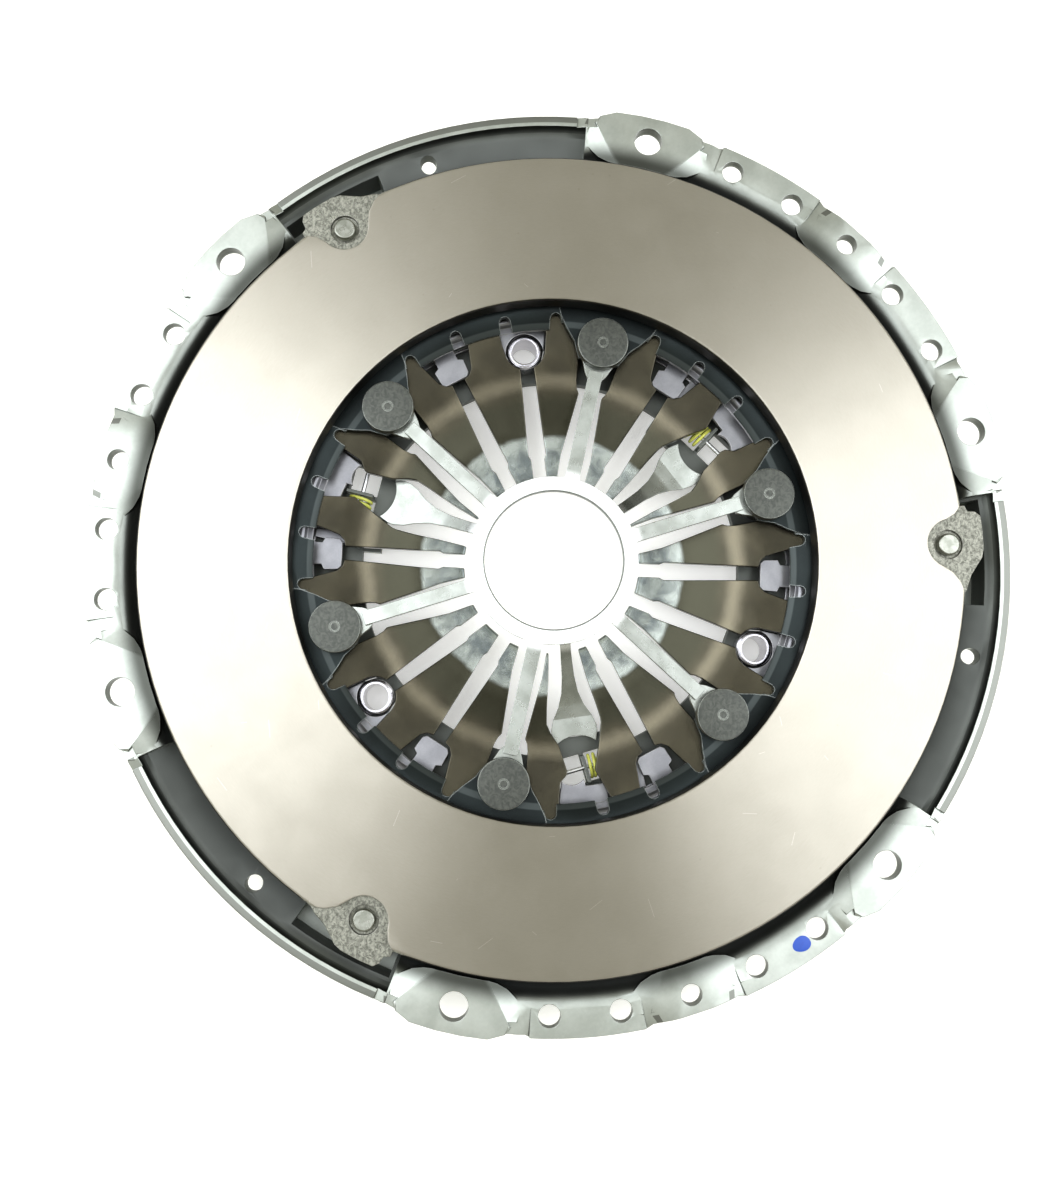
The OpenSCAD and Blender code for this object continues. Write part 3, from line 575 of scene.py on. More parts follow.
@dataclass(frozen=True)
class SheetFinish(Finish):
    """Pressed steel sheet, bright outside and on the flange, with painted shade inside the bowl, in
    the fillet where it is drawn down, and on the rim.
    """

    # Painted shade: the colour of inward-facing surfaces deep in the bowl.
    inside: Colour = shade(108, 111, 106)
    dark_from: float = -1.6 * MM
    dark_to: float = -5.0 * MM
    inward_from: float = -0.25
    inward_to: float = 0.35
    dull: float = 0.25
    # Painted shade in the fillet where the sheet is drawn down into the bowl, on faces that face
    # upward.
    drawn: Colour = shade(74, 76, 70)
    drawn_from: float = 129.2 * MM
    drawn_to: float = 122.6 * MM
    bent_from: float = 0.05
    bent_to: float = 0.4
    # A darker tone on steep faces near the flange.
    cut: Colour = shade(74, 76, 71)
    cut_depth: float = -3.4 * MM
    cut_share: float = 0.85
    steep_from: float = 0.4
    steep_to: float = 0.95
    # Painted shade on the rim's outer face.
    rolled: Colour = shade(122, 124, 116)
    rolled_radius: float = 132.9 * MM
    rolled_low: float = -0.97 * MM
    rolled_high: float = -0.6 * MM

    def hollow(self, graph: Graph) -> bpy.types.NodeSocket:
        """The inside of the bowl.

        Args:
            graph: The material's graph.

        Returns:
            A mask that is 1 on the walls and the floor inside the bowl.
        """
        place = graph.place()
        surface = graph.add("ShaderNodeNewGeometry").outputs["Normal"]
        out = graph.vector("MULTIPLY", place, (1.0, 1.0, 0.0)).outputs[0]
        way = graph.add("ShaderNodeVectorMath", {0: out}, operation="NORMALIZE").outputs[0]
        facing = graph.vector("DOT_PRODUCT", surface, way).outputs["Value"]
        inward = graph.mask(graph.math("MULTIPLY", facing, -1.0), self.inward_from, self.inward_to)
        depth = graph.math("MULTIPLY", graph.parts(place).outputs[2], -1.0)
        return graph.math("MULTIPLY", inward, graph.mask(depth, -self.dark_from, -self.dark_to))

    def gloss(self, graph: Graph) -> Value:
        """The roughness, higher inside the bowl."""
        more = graph.math("MULTIPLY", self.hollow(graph), self.dull)
        return graph.math("ADD", super().gloss(graph), more)

    def colour(self, graph: Graph) -> Value:
        """The sheet's tones, darker on steep faces near the flange, with painted shade on the rim,
        in the fillet where it is drawn down, and inside the bowl.

        Args:
            graph: The material's graph.

        Returns:
            The colour.
        """
        place = graph.place()
        radius = graph.radius(place)
        height = graph.parts(place).outputs[2]
        upright = graph.parts(graph.add("ShaderNodeNewGeometry").outputs["Normal"]).outputs[2]
        # Where the painted fillet shade goes: upward-facing faces between the fillet's radii.
        near = graph.math("SUBTRACT", 1.0, graph.mask(radius, self.drawn_to, self.drawn_from))
        bent = graph.math("MULTIPLY", near, graph.mask(upright, self.bent_from, self.bent_to))
        # Steep faces above a depth get the darker steep tone.
        level = graph.mask(graph.math("ABSOLUTE", upright), self.steep_from, self.steep_to)
        edge = graph.math("MULTIPLY", graph.math("SUBTRACT", 1.0, level),
                          graph.math("GREATER_THAN", height, self.cut_depth))
        # The rim's outer face, between two heights, gets the painted rim shade.
        band = graph.math("MULTIPLY", graph.math("GREATER_THAN", height, self.rolled_low),
                          graph.math("LESS_THAN", height, self.rolled_high))
        rim = graph.math("MULTIPLY", graph.math("GREATER_THAN", radius, self.rolled_radius), band)
        flat = graph.mix(rim, super().colour(graph), self.rolled)
        sheet = graph.mix(graph.math("MULTIPLY", edge, self.cut_share), flat, self.cut)
        # Painted shade, first in the fillet where the sheet is drawn down, then inside the bowl.
        return graph.mix(self.hollow(graph), graph.mix(bent, sheet, self.drawn), self.inside)


@dataclass(frozen=True)
class SpringFinish(Finish):
    """Peened spring steel with a painted highlight band, a painted dark reflection inside it, and
    tempered tips mottled with painted reflections.
    """

    wander: float = 1.5 * MM
    wander_scale: float = 90.0
    # A painted highlight band round the fingers, lighter than the brown.
    band: Colour = shade(132, 125, 105)
    band_radius: float = 56.0 * MM
    band_width: float = 8.0 * MM
    band_share: float = 0.55
    # A painted dark reflection inside the highlight band.
    oily: Colour = shade(62, 61, 49)
    oily_radius: float = 51.5 * MM
    oily_blur: float = 2.5 * MM
    # The tips' own temper tone, and a dark tone for the painted reflections that mottle them.
    tempered: Colour = shade(162, 168, 160)
    stained: Colour = shade(98, 105, 104)
    stain_scale: float = 260.0
    temper_radius: float = 39.7 * MM
    temper_blur: float = 0.9 * MM
    clean_radius: float = 36.5 * MM
    clean_blur: float = 2.2 * MM

    def inside(self, graph: Graph, radius: Value, limit: float,
               blur: float) -> bpy.types.NodeSocket:
        """A mask that is 1 inside a circle, with a soft border."""
        return graph.math("SUBTRACT", 1.0, graph.mask(radius, limit - blur, limit + blur))

    def colour(self, graph: Graph) -> Value:
        """Bronze-brown outside, with a painted highlight in the band, a painted dark reflection
        inside it, and painted reflections mottling the tips.

        Args:
            graph: The material's graph.

        Returns:
            The colour.
        """
        place = graph.place()
        shift = graph.span(graph.noise(place, self.wander_scale), -self.wander, self.wander)
        radius = graph.math("ADD", graph.radius(place), shift)
        away = graph.math("ABSOLUTE", graph.math("SUBTRACT", radius, self.band_radius))
        # The painted highlight band, strongest at its radius.
        rubbed = graph.math("SUBTRACT", 1.0, graph.mask(away, 0.0, self.band_width / 2))
        share = graph.math("MULTIPLY", rubbed, self.band_share)
        brown = graph.mix(share, super().colour(graph), self.band)
        # Painted dark reflection inside its radius.
        oiled = self.inside(graph, radius, self.oily_radius, self.oily_blur)
        dark = graph.mix(oiled, brown, self.oily)
        # Painted reflections mottle the tips. They are darker inside the core radius and lighter
        # just inside the tips' edge, a painted glint ring.
        stain = Patches.put(graph, Scale=self.stain_scale)
        clean = self.inside(graph, radius, self.clean_radius, self.clean_blur)
        worked = graph.math("ADD", graph.span(clean, start=-0.1, end=0.45),
                            graph.span(stain, start=-0.15, end=0.5))
        tips = graph.mix(worked, self.tempered, self.stained)
        tip = self.inside(graph, radius, self.temper_radius, self.temper_blur)
        return graph.mix(tip, dark, tips)


@dataclass(frozen=True)
class RubbedFinish(Finish):
    """Spring sheet that is polished bright between two circles, with a painted highlight there, and
    painted shade on a lip at its bore.
    """

    # Polish with a painted highlight on it.
    bright: Colour = shade(250, 252, 247)
    bright_from: float = -1.0
    bright_to: float = 26.5 * MM
    blur: float = 1.2 * MM
    # Painted shade along the bore's edge.
    lip: Colour = shade(112, 115, 108)
    lip_radius: float = 20.8 * MM

    def colour(self, graph: Graph) -> Value:
        """The sheet's tones, the bright tone between the circles, which is polish with a painted
        highlight, and the lip's painted shade.

        Args:
            graph: The material's graph.

        Returns:
            The colour.
        """
        radius = graph.radius(graph.place())
        over = graph.mask(radius, self.bright_from - self.blur, self.bright_from + self.blur)
        past = graph.mask(radius, self.bright_to - self.blur, self.bright_to + self.blur)
        share = graph.math("MULTIPLY", over, graph.math("SUBTRACT", 1.0, past))
        sheet = graph.mix(share, super().colour(graph), self.bright)
        # Painted shade on the lip inside its radius.
        return graph.mix(graph.math("LESS_THAN", radius, self.lip_radius), sheet, self.lip)


class Finishes:
    """Every finish of the part: name, two tones, roughness, unevenness, and what is special."""

    # The sheet's dark edge colour is painted edge shade.
    SHEET = SheetFinish(
        "pickled_sheet", shade(191, 196, 186), shade(173, 178, 168), 0.36, 0.03, patch=110.0,
        grain=900.0, grain_depth=0.15, worn=shade(122, 125, 117), wear=0.75, wear_width=0.45 * MM)
    GROUND = GroundFinish(
        "ground_iron", shade(179, 174, 160), shade(166, 161, 147), 0.3, 0.03, anisotropic=0.88,
        grain_depth=0.2, wear=0.3)
    CAST = Finish(
        "cast_iron", shade(160, 160, 146), shade(100, 100, 90), 0.5, 0.1, metallic=0.8,
        grain=2300.0, grain_depth=0.9, patch=1100.0, wear=0.25)
    MACHINED = Finish(
        "machined_iron", shade(66, 64, 59), shade(50, 48, 45), 0.42, 0.1, grain=900.0, wear=0.6)
    RIVET = Finish(
        "bright_rivet", shade(162, 163, 152), shade(134, 136, 124), 0.3, 0.06, patch=500.0)
    DIAPHRAGM = SpringFinish(
        "peened_bronze_spring", shade(76, 72, 58), shade(62, 59, 48), 0.23, 0.02, metallic=0.95,
        grain=2600.0, grain_depth=0.3, patch=90.0, worn=shade(150, 146, 130), wear=0.5)
    # The sensor ring's light edge colour is a painted edge highlight, and its light band near the
    # inner edge is partly polish and partly a painted highlight.
    SENSOR = RubbedFinish(
        "dark_oiled_spring", shade(34, 41, 40), shade(25, 31, 30), 0.42, 0.04, metallic=0.75,
        grain=2200.0, grain_depth=0.15, worn=shade(190, 196, 190), wear=0.8,
        bright=shade(64, 70, 68), bright_from=71.0 * MM, bright_to=72.9 * MM, blur=0.25 * MM)
    # The star's dark edge colour is painted edge shade, its dark lip at the bore is painted shade,
    # and its white ring is partly polish and partly a painted highlight.
    STAR = RubbedFinish(
        "bright_star_steel", shade(178, 182, 174), shade(154, 158, 149), 0.28, 0.03, grain=2400.0,
        grain_depth=0.1, patch=160.0, worn=shade(124, 128, 120), wear=0.8, wear_width=0.3 * MM)
    BOLT = Finish(
        "dull_phosphate", shade(84, 86, 79), shade(67, 69, 64), 0.36, 0.06, metallic=0.8,
        grain=1500.0, grain_depth=0.35, patch=900.0, worn=shade(190, 194, 182), wear=0.75)
    ADJUSTER = Finish(
        "lavender_steel", shade(148, 148, 149), shade(130, 130, 132), 0.4, 0.04, grain=1900.0,
        grain_depth=0.12, patch=150.0, wear=0.6)
    BUSH = Finish(
        "bright_bush", shade(214, 212, 216), shade(176, 174, 180), 0.22, 0.1, grain=1700.0)
    SPRING = Finish(
        "yellow_dipped_wire", shade(222, 224, 96), shade(196, 198, 84), 0.38, 0.1, metallic=0.0,
        grain=900.0, coat=0.4, wear=0.1)
    ROD = Finish(
        "drawn_rod", shade(216, 217, 213), shade(176, 176, 174), 0.25, 0.1, grain=1500.0)
    LEAF = Finish(
        "blued_leaf", shade(122, 128, 134), shade(92, 96, 102), 0.34, 0.12, grain=1400.0)
    PAINT = Finish(
        "blue_paint", shade(36, 78, 176), shade(28, 62, 146), 0.4, 0.1, metallic=0.0,
        grain=900.0, wear=0.0)


@dataclass(frozen=True)
class Bend:
    """How a spring bends: the body that its far end follows, and where it starts and ends."""

    body: Body
    start: Vector
    end: Vector


class Maker:
    """Turns meshes into pieces of the part."""

    COPY_MERGE = 0.002 * MM
    COPY_FLAT = math.radians(0.6)
    SPIN_MERGE = 0.001 * MM
    FACE_WEIGHT = 80

    @staticmethod
    def piece(name: str, mesh: bmesh.types.BMesh, finishes: Iterable[Finish], body: Body,
              slot: Slot, instead_of: Iterable[str] = (), smooth: float = 40.0,
              bend: Optional[Bend] = None) -> bpy.types.Object:
        """Makes an object from a finished mesh, riding on its body unless it has a bend.

        Args:
            name: The piece's name.
            mesh: Its shape in the part's frame. It is used up.
            finishes: Its materials, in the order of the faces' numbers.
            body: The body that it rides on, when it has no bend.
            slot: Not used.
            instead_of: The frame's nodes that it stands for.
            smooth: Faces that meet at less than this angle, in degrees, shade as one.
            bend: A bend towards another body, or None for a rigid piece. A piece with a bend is
                left in the part's frame and not attached to its body; nothing here bends it.

        Returns:
            The new object.
        """
        for side in mesh.faces:
            side.smooth = True
        for edge in mesh.edges:
            flat = edge.calc_face_angle(0.0) < math.radians(smooth)
            edge.smooth = len(edge.link_faces) == 2 and flat
        data = bpy.data.meshes.new(name)
        mesh.to_mesh(data)
        mesh.free()
        made = bpy.data.objects.new(name, data)
        bpy.context.scene.collection.objects.link(made)
        for finish in finishes:
            data.materials.append(finish.material())
        even = made.modifiers.new("even_shading", "WEIGHTED_NORMAL")
        even.keep_sharp = True
        even.weight = Maker.FACE_WEIGHT
        if bend is None:
            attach(made, body.value)
        else:
            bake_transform(made)
        if instead_of:
            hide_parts(*instead_of)
        LOG.info("%s: %d faces on %s", name, len(data.polygons), body.value)
        return made

    @staticmethod
    def copied(node: str) -> bmesh.types.BMesh:
        """A copy of a frame node with its flat faces joined.

        Args:
            node: The frame node.

        Returns:
            The mesh, in the part's frame.
        """
        mesh = bmesh.new()
        mesh.from_mesh(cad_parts[node].data)
        bmesh.ops.remove_doubles(mesh, verts=mesh.verts, dist=Maker.COPY_MERGE)
        bmesh.ops.dissolve_limit(mesh, angle_limit=Maker.COPY_FLAT, use_dissolve_boundaries=False,
                                 verts=mesh.verts, edges=mesh.edges)
        bmesh.ops.connect_verts_concave(mesh, faces=mesh.faces)
        return mesh

    @classmethod
    def rounded(cls, node: str, offset: float, segments: int = 2,
                sharp: float = 28.0) -> bmesh.types.BMesh:
        """A copy of a frame node with its edges rounded.

        Points that the rounding throws off the surface at narrow corners are put back on it.

        Args:
            node: The frame node.
            offset: How far the rounding reaches from an edge.
            segments: Faces across a rounding.
            sharp: The least angle of an edge that is rounded, in degrees.

        Returns:
            The mesh, in the part's frame.
        """
        mesh = cls.copied(node)
        least = math.radians(sharp)
        edges = [e for e in mesh.edges if e.is_manifold and e.calc_face_angle(0.0) > least]
        surface = BVHTree.FromBMesh(mesh)
        bmesh.ops.bevel(mesh, geom=edges, offset=offset, offset_type="OFFSET", segments=segments,
                        profile=0.5, affect="EDGES", clamp_overlap=False, material=-1,
                        loop_slide=True)
        for point in mesh.verts:
            near, _, _, away = surface.find_nearest(point.co)
            if away > offset / 2:
                point.co = near
        return mesh

    @staticmethod
    def turned(outline: Iterable[tuple[float, float]], steps: int = 64) -> bmesh.types.BMesh:
        """A solid of revolution round its own Z axis.

        Args:
            outline: Radius and height of each point, from one end of the axis to the other.
            steps: Faces round the axis.

        Returns:
            The mesh, about the origin.
        """
        mesh = bmesh.new()
        points = [mesh.verts.new((radius, 0.0, height)) for radius, height in outline]
        edges = [mesh.edges.new(pair) for pair in zip(points, points[1:])]
        bmesh.ops.spin(mesh, geom=points + edges, cent=(0, 0, 0), axis=(0, 0, 1), angle=math.tau,
                       steps=steps, use_merge=True, use_duplicate=False)
        bmesh.ops.remove_doubles(mesh, verts=mesh.verts, dist=Maker.SPIN_MERGE)
        bmesh.ops.recalc_face_normals(mesh, faces=mesh.faces)
        return mesh

    @staticmethod
    def repeated(mesh: bmesh.types.BMesh, places: Iterable[Matrix]) -> bmesh.types.BMesh:
        """One mesh that holds a copy of another at each place.

        Args:
            mesh: The mesh to copy. It is used up.
            places: Where each copy goes.

        Returns:
            The copies together.
        """
        data = bpy.data.meshes.new("copy")
        mesh.to_mesh(data)
        mesh.free()
        whole = bmesh.new()
        for place in places:
            copy = bmesh.new()
            copy.from_mesh(data)
            copy.transform(place)
            step = bpy.data.meshes.new("step")
            copy.to_mesh(step)
            copy.free()
            whole.from_mesh(step)
            bpy.data.meshes.remove(step)
        bpy.data.meshes.remove(data)
        return whole

    @staticmethod
    def dress(node: str, finish: Finish) -> None:
        """Gives a frame node that stays shown its finish.

        Args:
            node: The frame node.
            finish: Its finish.
        """
        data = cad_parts[node].data
        data.materials.clear()
        data.materials.append(finish.material())
        LOG.info("%s: %s", node, finish.name)


@dataclass
class CoverShell:
    """The pressed cover, its rivets and the inspector's dab of paint."""

    edge_round: float = 0.16 * MM
    land_height: float = -1.0 * MM
    dab_radius: float = 131.0 * MM
    dab_angle: float = math.radians(-104.7)
    dab_length: float = 5.6 * MM
    dab_width: float = 4.3 * MM
    dab_height: float = 0.12 * MM
    dab_foot: float = -0.05
    dab_lobes: tuple[tuple[float, int, float], ...] = ((0.05, 2, 0.7), (0.04, 3, 0.0))

    def build(self) -> None:
        """Makes and dresses the cover's pieces."""
        Maker.piece("cover_shell", Maker.rounded("cover", self.edge_round), [Finishes.SHEET],
                    Body.COVER, Slot.COVER, ["cover"])
        Maker.dress("cover_rivets", Finishes.RIVET)
        Maker.dress("seat_washers", Finishes.RIVET)
        self._dab()

    def _dab(self) -> None:
        """Puts the dab of blue paint, a flat dome with a wavy outline, on a land."""
        mesh = bmesh.new()
        bmesh.ops.create_uvsphere(mesh, u_segments=32, v_segments=12, radius=0.5)
        bmesh.ops.bisect_plane(mesh, geom=mesh.verts[:] + mesh.edges[:] + mesh.faces[:],
                               plane_co=(0, 0, self.dab_foot), plane_no=(0, 0, -1),
                               clear_outer=True)
        bmesh.ops.holes_fill(mesh, edges=[e for e in mesh.edges if e.is_boundary], sides=0)
        for point in mesh.verts:
            turn = math.atan2(point.co.y, point.co.x)
            waves = (size * math.sin(lobes * turn + start) for size, lobes, start in self.dab_lobes)
            point.co.xy *= sum(waves, 1.0)
        mesh.transform(
            Matrix.Translation(on_circle(self.dab_radius, self.dab_angle, self.land_height))
            @ Matrix.Rotation(self.dab_angle, 4, "Z")
            @ Matrix.Diagonal((self.dab_width, self.dab_length, 2 * self.dab_height, 1)))
        bmesh.ops.recalc_face_normals(mesh, faces=mesh.faces)
        Maker.piece("paint_dab", mesh, [Finishes.PAINT], Body.COVER, Slot.SPRING)


@dataclass
class PressurePlate:
    """The cast pressure plate with its ground face, and the rivets in its lugs."""

    edge_round: float = 0.3 * MM
    rivet_round: float = 0.15 * MM
    face_height: float = 3.3 * MM
    lug_reach: float = 17.0 * MM

    def build(self) -> None:
        """Makes and dresses the plate's pieces."""
        mesh = Maker.rounded("pressure_plate", self.edge_round)
        lugs = thirds(LUG_CIRCLE, LUG_ANGLE)
        finishes = [Finishes.GROUND, Finishes.CAST, Finishes.MACHINED]
        for side in mesh.faces:
            centre = side.calc_center_median()
            if centre.z > self.face_height:
                finish = Finishes.GROUND
            elif any((centre.xy - lug.xy).length < self.lug_reach for lug in lugs):
                finish = Finishes.CAST
            else:
                finish = Finishes.MACHINED
            side.material_index = finishes.index(finish)
        Maker.piece("pressure_plate_body", mesh, finishes, Body.PLATE, Slot.PLATE,
                    ["pressure_plate"])
        Maker.piece("lug_rivet_heads", Maker.rounded("lug_rivets", self.rivet_round),
                    [Finishes.RIVET], Body.PLATE, Slot.RIVET, ["lug_rivets"])


@dataclass
class Springs:
    """The diaphragm spring and the sensor spring over it."""

    diaphragm_round: float = 0.3 * MM
    rim_start: float = -9.9 * MM
    rim_end: float = -7.5 * MM
    tab_pitch: float = math.radians(60)
    burr_from: float = 71.2 * MM
    burr_to: float = 73.6 * MM
    burr_start: float = math.radians(10.3)
    burr_end: float = math.radians(10.8)
    burr_top: float = -8.0 * MM

    def build(self) -> None:
        """Makes and dresses both springs."""
        rim = Bend(Body.PLATE, Vector((0, 0, self.rim_start)), Vector((0, 0, self.rim_end)))
        diaphragm = Maker.rounded("diaphragm_spring", self.diaphragm_round, segments=3)
        Maker.piece("diaphragm", diaphragm, [Finishes.DIAPHRAGM], Body.COVER, Slot.DIAPHRAGM,
                    ["diaphragm_spring"], bend=rim)
        Maker.piece("sensor_ring", self._sensor(), [Finishes.SENSOR], Body.COVER, Slot.SENSOR,
                    ["sensor_spring"])

    def _sensor(self) -> bmesh.types.BMesh:
        """The sensor ring, with the thin burrs beside its notches drawn in under the ring.

        Returns:
            The mesh, in the part's frame.
        """
        mesh = Maker.copied("sensor_spring")
        for point in mesh.verts:
            radius = point.co.xy.length
            turn = abs(math.atan2(point.co.y, point.co.x) % self.tab_pitch - self.tab_pitch / 2)
            near = self.burr_from < radius < self.burr_to and point.co.z < self.burr_top
            if near and self.burr_start < turn < self.burr_end:
                point.co.xy *= self.burr_to / radius
        return mesh


@dataclass
class SupportStar:
    """The six-armed star held under the bolt heads."""

    edge_round: float = 0.12 * MM

    def build(self) -> None:
        """Makes and dresses the star."""
        Maker.piece("star", Maker.rounded("support_star", self.edge_round, segments=3),
                    [Finishes.STAR], Body.COVER, Slot.STAR, ["support_star"])


@dataclass
class SpacerBolts:
    """The six riveted spacer bolts, each with a plain ring mark in its head."""

    circle: float = 66.6 * MM
    count: int = 6
    first_angle: float = math.radians(30)
    head_radius: float = 7.6 * MM
    head_height: float = 3.2 * MM
    head_break: float = 0.3 * MM
    chamfer: float = 0.5 * MM
    mark_radius: float = 1.35 * MM
    mark_width: float = 0.42 * MM
    mark_depth: float = 0.14 * MM
    mark_slope: float = 0.08 * MM
    neck_radius: float = 3.55 * MM
    neck_length: float = 3.5 * MM
    shank_radius: float = 4.9 * MM
    wall: float = 3.4 * MM
    tenon_radius: float = 3.2 * MM
    tail_radius: float = 5.4 * MM
    tail_height: float = 1.8 * MM
    tail_break: float = 0.15 * MM
    tail_side: float = 0.7 * MM
    tail_dome: tuple[tuple[float, float], ...] = (
        (4.9 * MM, 0.6 * MM), (4.1 * MM, 0.15 * MM), (2.6 * MM, 0.0), (0.0, 0.0))

    def build(self) -> None:
        """Makes and dresses the bolts."""
        low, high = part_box("spacer_bolts")
        places = [Matrix.Rotation(self.first_angle + math.tau * k / self.count, 4, "Z")
                  @ Matrix.Translation((self.circle, 0, 0)) for k in range(self.count)]
        mesh = Maker.repeated(Maker.turned(self._outline(low.z, high.z)), places)
        Maker.piece("spacer_bolt_set", mesh, [Finishes.BOLT], Body.COVER, Slot.BOLT,
                    ["spacer_bolts"], smooth=30.0)

    def _outline(self, foot: float, top: float) -> list[tuple[float, float]]:
        """One bolt's outline.

        Args:
            foot: The height of its lowest point.
            top: The height of its head's top.

        Returns:
            Radius and height of each point, from the top of the axis to the foot.
        """
        seat = top - self.head_height
        sensor = seat - self.neck_length
        outside = foot + self.tail_height
        under = outside + self.wall
        half = self.mark_width / 2
        inner, outer = self.mark_radius - half, self.mark_radius + half
        head = [
            (0.0, top), (inner, top), (inner + self.mark_slope, top - self.mark_depth),
            (outer - self.mark_slope, top - self.mark_depth), (outer, top),
            (self.head_radius - self.chamfer, top),
            (self.head_radius - 0.3 * self.chamfer, top - 0.25 * self.chamfer),
            (self.head_radius, top - self.chamfer), (self.head_radius, seat + self.head_break),
            (self.head_radius - self.head_break, seat)]
        shank = [
            (self.neck_radius, seat), (self.neck_radius, sensor), (self.shank_radius, sensor),
            (self.shank_radius, under), (self.tenon_radius, under), (self.tenon_radius, outside)]
        tail = [
            (self.tail_radius - self.tail_break, outside),
            (self.tail_radius, outside - self.tail_break),
            (self.tail_radius, outside - self.tail_side)]
        return head + shank + tail + [(radius, foot + rise) for radius, rise in self.tail_dome]


@dataclass
class WearAdjuster:
    """The two ramp rings, the springs that turn one of them, and the sight bushes."""

    edge_round: float = 0.2 * MM
    bush_round: float = 0.15 * MM
    coil_circle: float = 61.5 * MM
    coil_turn: float = math.radians(-1.3)
    coil_height: float = -18.3 * MM
    coil_start: float = -6.4 * MM
    coil_end: float = 6.2 * MM
    coil_radius: float = 3.3 * MM
    wire_radius: float = 0.5 * MM
    wire_sides: int = 12
    end_turns: float = 1.0
    end_lead: float = 1.08
    free_turns: float = 4.5
    steps_a_turn: int = 28

    def build(self) -> None:
        """Makes and dresses the adjuster's pieces."""
        Maker.piece("adjuster_ring_body", Maker.rounded("adjuster_ring", self.edge_round),
                    [Finishes.ADJUSTER], Body.ADJUSTER, Slot.ADJUSTER, ["adjuster_ring"])
        Maker.piece("pivot_ring_body", Maker.rounded("pivot_ring", self.edge_round),
                    [Finishes.ADJUSTER], Body.PIVOT, Slot.ADJUSTER, ["pivot_ring"])
        Maker.piece("sight_bush_set", Maker.rounded("sight_bushes", self.bush_round),
                    [Finishes.BUSH], Body.COVER, Slot.BUSH, ["sight_bushes"])
        for k in range(3):
            coil = self._coil()
            coil.transform(Matrix.Rotation(THIRD * k + self.coil_turn, 4, "Z")
                           @ Matrix.Translation((self.coil_circle, 0, self.coil_height)))
            Maker.piece(f"adjuster_coil_{k + 1}", coil, [Finishes.SPRING], Body.COVER,
                        Slot.SPRING, [f"adjuster_spring_{k + 1}"], smooth=80.0)
            Maker.dress(f"guide_rod_{k + 1}", Finishes.ROD)

    def _coil(self) -> bmesh.types.BMesh:
        """A compression spring along Y with close end turns, swept from a round wire section.

        Returns:
            The mesh, about the origin.
        """
        mesh = bmesh.new()
        made = bmesh.ops.create_circle(mesh, segments=self.wire_sides, radius=self.wire_radius)
        lead = self.coil_start + self.wire_radius
        bmesh.ops.transform(mesh, verts=made["verts"],
                            matrix=Matrix.Translation((self.coil_radius, lead, 0)))
        span = self.coil_end - self.coil_start - 2 * self.wire_radius
        end_rise = self.end_lead * 2 * self.wire_radius * self.end_turns
        close = (self.end_turns, end_rise)
        last = mesh.verts[:] + mesh.edges[:]
        for turns, rise in (close, (self.free_turns, span - 2 * end_rise), close):
            steps = round(self.steps_a_turn * turns)
            made = bmesh.ops.spin(mesh, geom=last, cent=(0, 0, 0), axis=(0, 1, 0),
                                  dvec=(0, rise / steps, 0), angle=-math.tau * turns, steps=steps,
                                  use_merge=False, use_duplicate=False)
            last = made["geom_last"]
        bmesh.ops.holes_fill(mesh, edges=[e for e in mesh.edges if e.is_boundary], sides=0)
        bmesh.ops.recalc_face_normals(mesh, faces=mesh.faces)
        return mesh


@dataclass
class LeafPacks:
    """The leaf springs that carry the pressure plate, from the cover's rivets to its lugs."""

    edge_round: float = 0.1 * MM
    fixed_circle: float = 111.0 * MM
    fixed_angle: float = math.radians(47)
    bend_start: float = 0.15
    bend_end: float = 0.8

    def build(self) -> None:
        """Makes and dresses the three packs."""
        ends = zip(thirds(self.fixed_circle, self.fixed_angle), thirds(LUG_CIRCLE, LUG_ANGLE))
        for number, (fixed, lug) in enumerate(ends, start=1):
            node = f"leaf_pack_{number}"
            start, end = fixed.lerp(lug, self.bend_start), fixed.lerp(lug, self.bend_end)
            Maker.piece(f"leaf_stack_{number}", Maker.rounded(node, self.edge_round),
                        [Finishes.LEAF], Body.COVER, Slot.LEAF, [node],
                        bend=Bend(Body.PLATE, start, end))


@dataclass(frozen=True)
class Lamp:
    """A rectangular soft lamp that points at the part.

    Its bearing is its direction in the picture, in degrees anticlockwise from the right, its
    height is its elevation above the table, in degrees, and its power is in watts.
    """

    name: str
    bearing: float
    height: float
    reach: float
    width: float
    length: float
    power: float


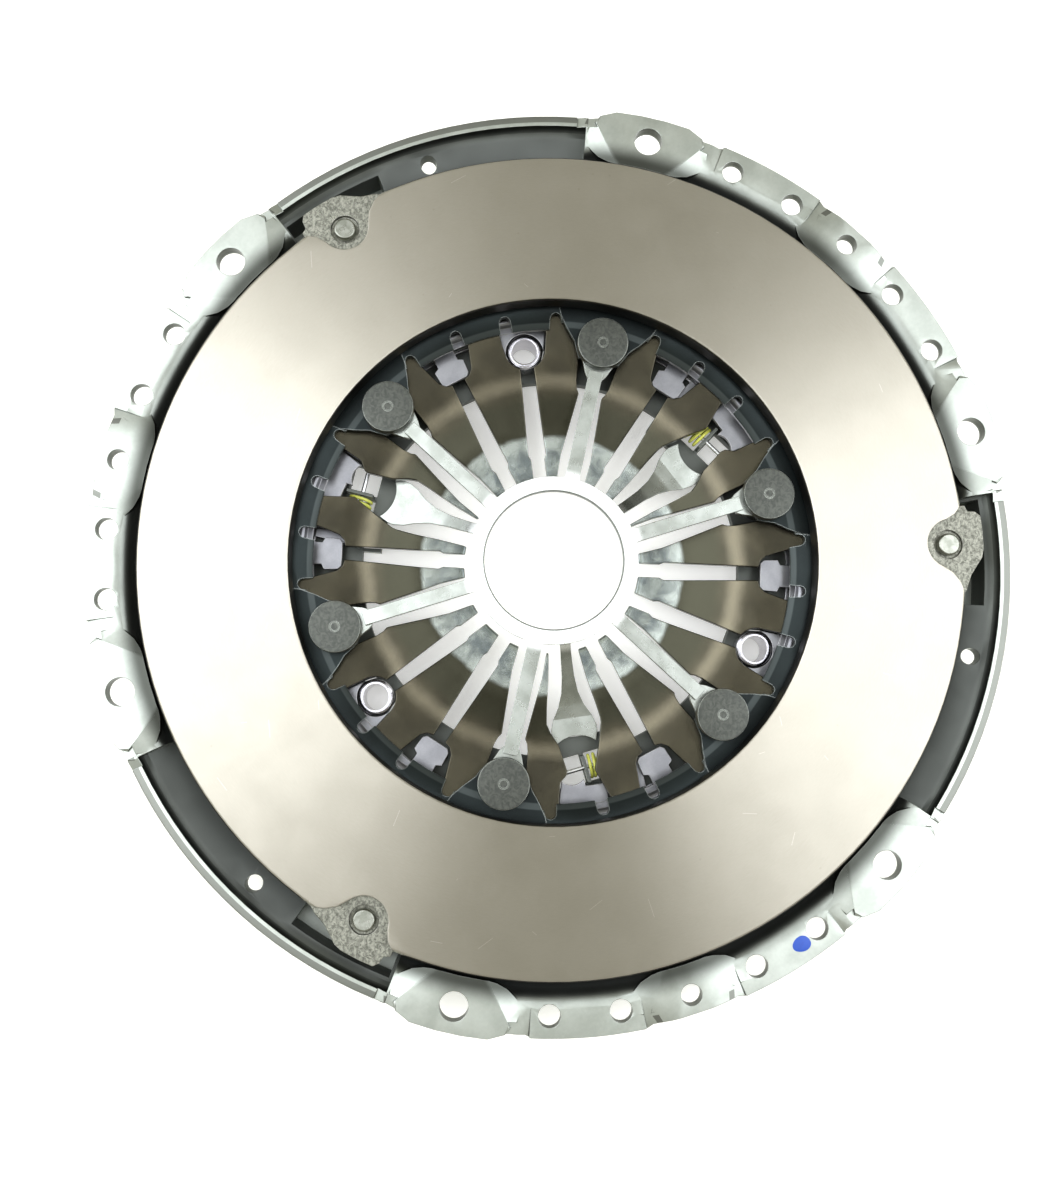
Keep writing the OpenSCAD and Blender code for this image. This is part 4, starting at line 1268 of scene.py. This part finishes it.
@dataclass
class Studio:
    """The white table, the soft lamps and the camera over the part."""

    distance: float = 349.5 * MM
    aside: float = 7.24 * MM
    ahead: float = 11.96 * MM
    tilt: float = -0.09
    lean: float = 0.03
    turn: float = math.radians(47.3)
    lens: float = 36.0
    sensor: float = 36.0
    clip: tuple[float, float] = (0.01, 20.0)
    floor_size: float = 6.0
    floor_gap: float = 0.05 * MM
    paper: Colour = (0.88, 0.865, 0.8, 1.0)
    glow_from: float = 0.2
    glow_to: float = 0.8
    glow_near: float = 0.34
    sky: Colour = (1.0, 0.99, 0.88, 1.0)
    sky_tone: float = 0.54
    lamp_tone: tuple[float, float, float] = (0.95, 0.99, 1.09)
    lamps: tuple[Lamp, ...] = (
        Lamp("lamp_left", bearing=168, height=48, reach=0.95, width=0.75, length=1.5, power=11.2),
        Lamp("lamp_right", bearing=0, height=48, reach=0.95, width=0.75, length=1.1, power=7.7))

    def build(self) -> None:
        """Sets up everything that isn't part of the object."""
        self._camera()
        self._floor()
        self._world()
        for lamp in self.lamps:
            self._light(lamp)

    def _camera(self) -> None:
        """Looks down on the part as the photograph does."""
        data = bpy.data.cameras.new("camera")
        data.lens, data.sensor_width = self.lens, self.sensor
        data.clip_start, data.clip_end = self.clip
        camera = bpy.data.objects.new("camera", data)
        bpy.context.scene.collection.objects.link(camera)
        seen = (Matrix.Translation((self.aside, self.ahead, -self.distance))
                @ Matrix.Rotation(self.tilt, 4, "X") @ Matrix.Rotation(self.lean, 4, "Y")
                @ Matrix.Rotation(self.turn, 4, "Z"))
        camera.matrix_world = seen.inverted()
        bpy.context.scene.camera = camera

    def _floor(self) -> None:
        """A white table that keeps the part's shadow."""
        mesh = bmesh.new()
        bmesh.ops.create_grid(mesh, x_segments=2, y_segments=2, size=self.floor_size / 2)
        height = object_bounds()[0].z - self.floor_gap
        bmesh.ops.translate(mesh, verts=mesh.verts, vec=(0, 0, height))
        data = bpy.data.meshes.new("table")
        mesh.to_mesh(data)
        mesh.free()
        table = bpy.data.objects.new("table", data)
        bpy.context.scene.collection.objects.link(table)
        table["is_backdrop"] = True
        finish = bpy.data.materials.new("white_table")
        finish.use_nodes = True
        graph = Graph(finish.node_tree)
        ray = graph.add("ShaderNodeLightPath").outputs
        through = graph.math("MAXIMUM", ray["Is Glossy Ray"], ray["Is Transmission Ray"])
        seen = graph.math("MAXIMUM", ray["Is Camera Ray"], through)
        paper = graph.add("ShaderNodeBsdfDiffuse", {"Color": self.paper})
        far = graph.mask(graph.radius(graph.place()), self.glow_from, self.glow_to)
        strength = graph.math("MULTIPLY", seen, graph.span(far, self.glow_near, 1.0))
        glow = graph.add("ShaderNodeEmission", {"Color": WHITE, "Strength": strength})
        both = graph.add("ShaderNodeAddShader", {0: paper.outputs[0], 1: glow.outputs[0]})
        graph.add("ShaderNodeOutputMaterial", {"Surface": both.outputs[0]})
        data.materials.append(finish)

    def _world(self) -> None:
        """Soft grey light all round, seen as white by the camera."""
        world = bpy.data.worlds.new("studio")
        world.use_nodes = True
        graph = Graph(world.node_tree)
        seen = graph.add("ShaderNodeLightPath").outputs["Is Camera Ray"]
        soft = graph.add("ShaderNodeBackground", {"Color": self.sky, "Strength": self.sky_tone})
        white = graph.add("ShaderNodeBackground", {"Color": WHITE, "Strength": 1.0})
        both = graph.add("ShaderNodeMixShader", {0: seen, 1: soft.outputs[0], 2: white.outputs[0]})
        graph.add("ShaderNodeOutputWorld", {"Surface": both.outputs[0]})
        bpy.context.scene.world = world

    def _light(self, lamp: Lamp) -> None:
        """Hangs a lamp.

        Args:
            lamp: Its place, size and power.
        """
        data = bpy.data.lights.new(lamp.name, "AREA")
        data.shape, data.size, data.size_y = "RECTANGLE", lamp.width, lamp.length
        data.energy, data.color = lamp.power, self.lamp_tone
        light = bpy.data.objects.new(lamp.name, data)
        bpy.context.scene.collection.objects.link(light)
        angle, rise = math.radians(lamp.bearing) - self.turn, math.radians(lamp.height)
        light.location = lamp.reach * on_circle(math.cos(rise), angle, math.sin(rise))
        light.rotation_mode = "QUATERNION"
        light.rotation_quaternion = light.location.to_track_quat("Z", "Y")


def main() -> None:
    logging.basicConfig(level=logging.INFO, format="%(message)s")
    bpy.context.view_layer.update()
    assemblies = (CoverShell(), PressurePlate(), Springs(), SupportStar(), SpacerBolts(),
                  WearAdjuster(), LeafPacks())
    for assembly in assemblies:
        assembly.build()
    Studio().build()
    bpy.context.scene.view_settings.view_transform = "Standard"
    bpy.context.view_layer.update()


if __name__ == "__main__":
    main()
